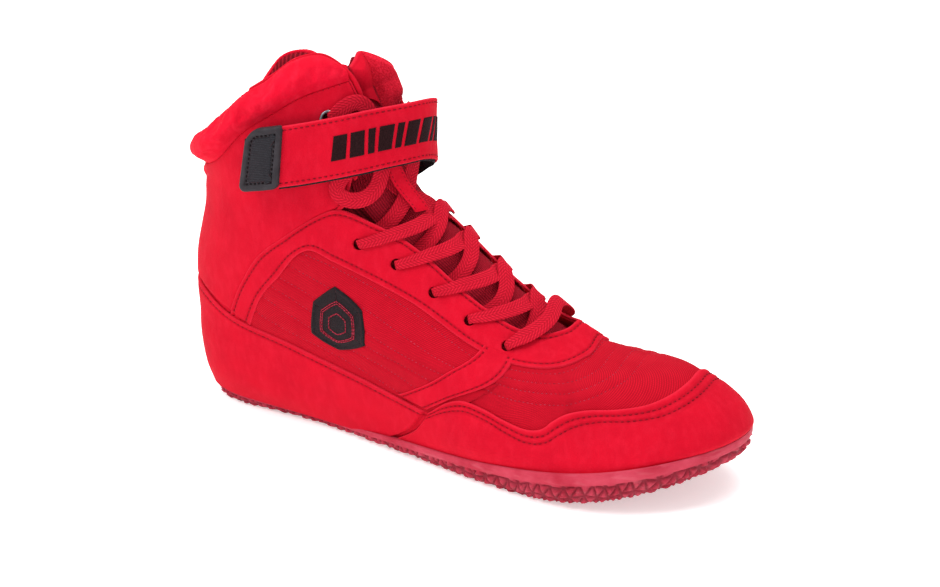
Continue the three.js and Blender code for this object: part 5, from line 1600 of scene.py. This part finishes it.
def tapes():
    t = np.linspace(0.118, 0.3, 60)
    b = np.linspace(-11.8, 11.8, 30)
    tt, bb = np.meshgrid(t, b, indexing="ij")
    rough = 0.12 * undulate(strap_point(tt, bb, 0 * tt), 1.7, 41)
    top, low = strap_point(tt, bb, 0 * tt - 1.3), strap_point(tt, bb, rough - 2.1)
    mesh = shell("hook", top, low, np.stack([tt * 200, bb], -1))
    link("strap_hook_tape", mesh, TAPE, "strap_end_body", "hook_tape", ["hook_patch"])
    patch = coons(curve([[0.222, 0.742], [0.27, 0.732], [0.31, 0.722]]),
                  curve([[0.235, 0.862], [0.28, 0.845], [0.32, 0.826]]),
                  line(0.222, 0.742, 0.235, 0.862), line(0.31, 0.722, 0.32, 0.826))
    Panel(patch, "cccc", top=1.5, seed=42, uneven=0.1, thickness=0.9, drop=0.5).build(
        "ankle_loop_tape", TAPE, "hook_tape", 1.2, replaces=["loop_patch"])


EMBLEM_AT = (0.24, 0.39)
EMBLEM_RADIUS = 16.5
EMBLEM_LINES = (10.4, 9.4, 5.2)


def hexagon(radius, count=180):
    a = full_turn(count)
    corner = np.cos(np.pi / 6) / np.cos((a + np.pi / 6) % (np.pi / 3) - np.pi / 6)
    r = radius * lerp(1, corner, 0.7)
    return np.stack([r * np.cos(a), r * np.sin(a)], -1)


def emblem():
    """A plain embroidered hexagon with a raised satin edge and three inner lines."""
    u0, v0 = EMBLEM_AT
    along, _, out = frame_at(u0, v0)
    up = np.cross(out, along)
    by_u = (last(u0 + 0.005, v0) - last(u0 - 0.005, v0)) / 0.01
    by_v = (last(u0, v0 + 0.005) - last(u0, v0 - 0.005)) / 0.01
    to_uv = np.linalg.inv([[by_u @ along, by_v @ along], [by_u @ up, by_v @ up]])

    def at_uv(x, y):
        return u0 + to_uv[0, 0] * x + to_uv[0, 1] * y, v0 + to_uv[1, 0] * x + to_uv[1, 1] * y

    def place(x, y, h):
        return point(*at_uv(x, y), h)

    profile = [(0.5, -1.3), (0.05, -0.9), (0, -0.45), (0.25, -0.1), (0.8, 0.12), (1.5, 0.1), (1.9, -0.12),
               (2.3, -0.2)]
    mesh = disc("emblem", hexagon(EMBLEM_RADIUS), profile, place, 9, 0.15)
    link("emblem_embroidered", mesh, EMBROIDERY, "boot", "embroidery", ["emblem_patch"])
    rows = []
    for radius in EMBLEM_LINES:
        ring = hexagon(radius, 600)
        ring = np.vstack([ring, ring[:1]])
        places = place(ring[:, 0], ring[:, 1], np.full(len(ring), 0.02))
        normal = frame_at(*at_uv(ring[:, 0], ring[:, 1]))[2]
        rows.append((places, normal))
    mesh = stitch_mesh("emblem_lines", rows, 1.5, 0.26, 0.95, 0.0)
    link("emblem_lines", mesh, QUILT_THREAD, "boot", "embroidery")


# ---------------------------------------------------------------- sole
SOLE_SPRING, SPRING_START, SPRING_END = 19.0, 186.0, 282.0
WALL_LUG, TREAD_LUG, TREAD_DEPTH = 6.0, 7.5, 1.5


def sole_bottom(x):
    t = np.clip((x + ORIGIN[0] - SPRING_START) / (SPRING_END - SPRING_START), 0, 1)
    return SOLE_SPRING * t * t


def edge_point(u, offset):
    out = frame_at(u, np.full(np.shape(u), 0.001))[2]
    flat = unit(out * [1, 1, 0])
    return last(u, np.full(np.shape(u), 0.001)) + flat * np.asarray(offset)[..., None]


def facets(a, b, size, seed):
    """Height from 0 to 1 of three-sided lugs over a plane, and 0 in the grooves between them."""
    shift = 0.16 * size
    a = a + shift * np.sin(b * 2.1 / size + seed) + shift * np.sin(a * 0.9 / size + 2 * seed)
    b = b + shift * np.sin(a * 1.7 / size + 3 * seed)
    near = np.full(np.shape(a), 1.0)
    for turn in (0, 1, 2):
        angle = np.pi / 2 + turn * np.pi / 3
        place = (a * np.cos(angle) + b * np.sin(angle)) / (size * 0.866)
        near = np.minimum(near, np.abs(place - np.round(place)))
    return np.clip((near - 0.045) / 0.18, 0, 1)


def outsole():
    half_turn = np.linspace(0.0002, 0.4998, 4000)
    edge = last(half_turn, np.full(4000, 0.001))
    run = travelled(edge)
    even = np.linspace(0, run[-1], int(run[-1] / 0.55))
    u = np.interp(even, run, half_turn)
    fore = smooth((u - 0.155) / 0.085)
    drop = np.linspace(0, 1, 21)
    walls, dark = [], []
    for k, turned in ((0, u), (1, 1 - u)):
        ze = last(turned, np.full(len(u), 0.001))[:, 2]
        bottom = sole_bottom(edge_point(turned, lerp(-5, -3.2, fore))[:, 0])
        ring, depth = [], []
        for t in drop:
            z = lerp(ze + lerp(0.2, 2.4, fore), bottom, t)
            band = smooth((0.37 - t) / 0.07)
            tread = smooth((t - 0.34) / 0.06)
            curve_in = lerp(lerp(-2.4, 1.9, fore), lerp(-5, -2.6, fore), max(0.0, (t - 0.5) / 0.5) ** 1.7)
            bulge = band * 0.4 * np.sin(np.pi * min(1.0, t / 0.37)) * fore
            cells = facets(even + k * 3.1, t * (ze - bottom + 0.3), WALL_LUG, 3 + k)
            offset = curve_in + bulge + tread * (cells * 1.7 - 1.3)
            p = edge_point(turned, offset)
            p[:, 2] = z
            ring.append(p)
            # Painted shade in the gaps between the wall lugs.
            depth.append(tread * (1 - np.clip(cells * 1.4, 0, 0.8)))
        walls.append(np.array(ring))
        dark.append(np.array(depth))
    across = np.linspace(0, 1, 96)[1:-1]
    a, b = walls[0][-1], walls[1][-1]
    tread = a[None] + (b - a)[None] * across[:, None, None]
    lug = facets(tread[..., 0], tread[..., 1], TREAD_LUG, 9)
    margin = smooth(np.minimum(across, 1 - across) / 0.03)[:, None]
    margin = margin * smooth(np.minimum(even, run[-1] - even) / 4)[None]
    tread[..., 2] = sole_bottom(tread[..., 0]) + (1 - lug) * TREAD_DEPTH * margin
    lid_share = np.linspace(0, 1, 10)[1:-1]
    lid = walls[1][0][None] + (walls[0][0] - walls[1][0])[None] * lid_share[:, None, None] - [0, 0, 1.0]
    rings = np.concatenate([walls[0], tread, walls[1][::-1], lid]).transpose(1, 0, 2)
    # Painted shade in the tread grooves, carried to the rubber as its edge mark.
    low = 1 - lug
    groove_shade = np.concatenate([dark[0], low, dark[1][::-1], 0 * lid[..., 0]]).T
    link("outsole_rubber", sweep("outsole", rings, None, groove_shade), RUBBER, "boot", "sole_rubber", ["outsole"])


def footbed():
    """The knit-topped sock liner, dished a little at the heel."""
    u = np.linspace(0.02, 0.48, 150)
    k = np.linspace(0, 1, 60)
    a, b = (edge_point(w, np.full(len(u), -8.6)) for w in (u, 1 - u))
    flat = a[:, None] + (b - a)[:, None] * k[None, :, None]
    rise = 1.2 * (np.abs(k - 0.5) * 2) ** 3
    dish = 0.6 * smooth((0.25 - u) / 0.1)[:, None] * (1 - rise[None] / 1.2)
    top = flat + [0, 0, 1] * (5.4 + rise[None] - dish)[..., None]
    low = flat + np.array([0, 0, 2.5])
    thread = np.stack([top[..., 0], top[..., 1]], -1)
    link("sockliner_knit", shell("sockliner", top, low, thread), TONGUE_CLOTH, "boot", "knit", ["sockliner"])


def hidden_parts():
    """Stiffeners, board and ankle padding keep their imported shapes, softened by a bevel."""
    finishes = {"insole_board": BOARD, "heel_counter": BOARD, "toe_puff": BOARD,
                "ankle_foam_lateral": FOAM, "ankle_foam_medial": FOAM}
    for name, material in finishes.items():
        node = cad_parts[name]
        node.data.materials.clear()
        node.data.materials.append(material)
        bevel = node.modifiers.new("softened", "BEVEL")
        bevel.width, bevel.segments, bevel.angle_limit = 0.4 * MM, 2, 0.6


# ---------------------------------------------------------------- stage
CAMERA_TARGET = np.array([4.5, 2.6, 70.0])
CAMERA_AZIMUTH, CAMERA_ELEVATION, CAMERA_DISTANCE = 28.94, 20.2, 968.3
CAMERA_LENS, CAMERA_SENSOR, CAMERA_SHIFT = 80.1, 36, (0.0025, 0.0052)
FLOOR_HALF = 30000
# name, place in metres, side in metres, power in watts
LAMPS = (("key", (-0.9, -1.2, 1.7), 0.9, 22), ("top", (0.1, 0.2, 2.0), 1.6, 30),
         ("side", (1.8, -0.8, 0.8), 1.2, 4))


def stage():
    a, e = np.radians(CAMERA_AZIMUTH), np.radians(CAMERA_ELEVATION)
    back = np.array([np.sin(a) * np.cos(e), -np.cos(a) * np.cos(e), np.sin(e)])
    camera = bpy.data.objects.new("camera", bpy.data.cameras.new("camera"))
    camera.data.lens, camera.data.sensor_width = CAMERA_LENS, CAMERA_SENSOR
    camera.data.shift_x, camera.data.shift_y = CAMERA_SHIFT
    camera.location = Vector((CAMERA_TARGET + back * CAMERA_DISTANCE) * MM)
    camera.rotation_euler = Vector(-back).to_track_quat("-Z", "Y").to_euler()
    bpy.context.scene.collection.objects.link(camera)
    bpy.context.scene.camera = camera

    corners = [[x * FLOOR_HALF, y * FLOOR_HALF, 0] for x, y in ((-1, -1), (1, -1), (1, 1), (-1, 1))]
    floor = make_mesh("floor", corners, [[0, 1, 2, 3]])
    paper = bpy.data.materials.new("floor_paper")
    paper.use_nodes = True
    sockets = paper.node_tree.nodes["Principled BSDF"].inputs
    sockets["Base Color"].default_value = (0.93, 0.93, 0.93, 1)
    sockets["Roughness"].default_value = 0.9
    sockets["Emission Color"].default_value = (1, 1, 1, 1)
    sockets["Emission Strength"].default_value = 0.45
    floor.materials.append(paper)
    ground = bpy.data.objects.new("floor", floor)
    ground.location.z = -0.0004
    bpy.context.scene.collection.objects.link(ground)

    for name, place, size, power in LAMPS:
        lamp = bpy.data.lights.new(name, "AREA")
        lamp.size, lamp.energy = size, power
        light = bpy.data.objects.new(name, lamp)
        light.location = place
        light.rotation_euler = (Vector((0, 0, 0.06)) - Vector(place)).to_track_quat("-Z", "Y").to_euler()
        bpy.context.scene.collection.objects.link(light)
    world = bpy.data.worlds.new("studio")
    world.use_nodes = True
    sky = world.node_tree.nodes["Background"].inputs
    sky["Color"].default_value = (1, 1, 1, 1)
    sky["Strength"].default_value = 0.66
    bpy.context.scene.world = world
    bpy.context.scene.view_settings.view_transform = "Standard"


foxing()
toe_cap()
facing()
vamp_mesh()
achilles()
for side_name, is_medial in SIDES:
    side_strip(side_name, is_medial)
    quarter_mesh(side_name, is_medial)
    ankle_panel(side_name, is_medial)
    quarter_lining(side_name, is_medial)
    front_binding(side_name, is_medial)
vamp_lining()
collar()
tongue()
tongue_top_pieces()
lace_keeper()
lace()
top_eyelets()
strap()
strap_tab()
tapes()
emblem()
outsole()
footbed()
hidden_parts()
stage()
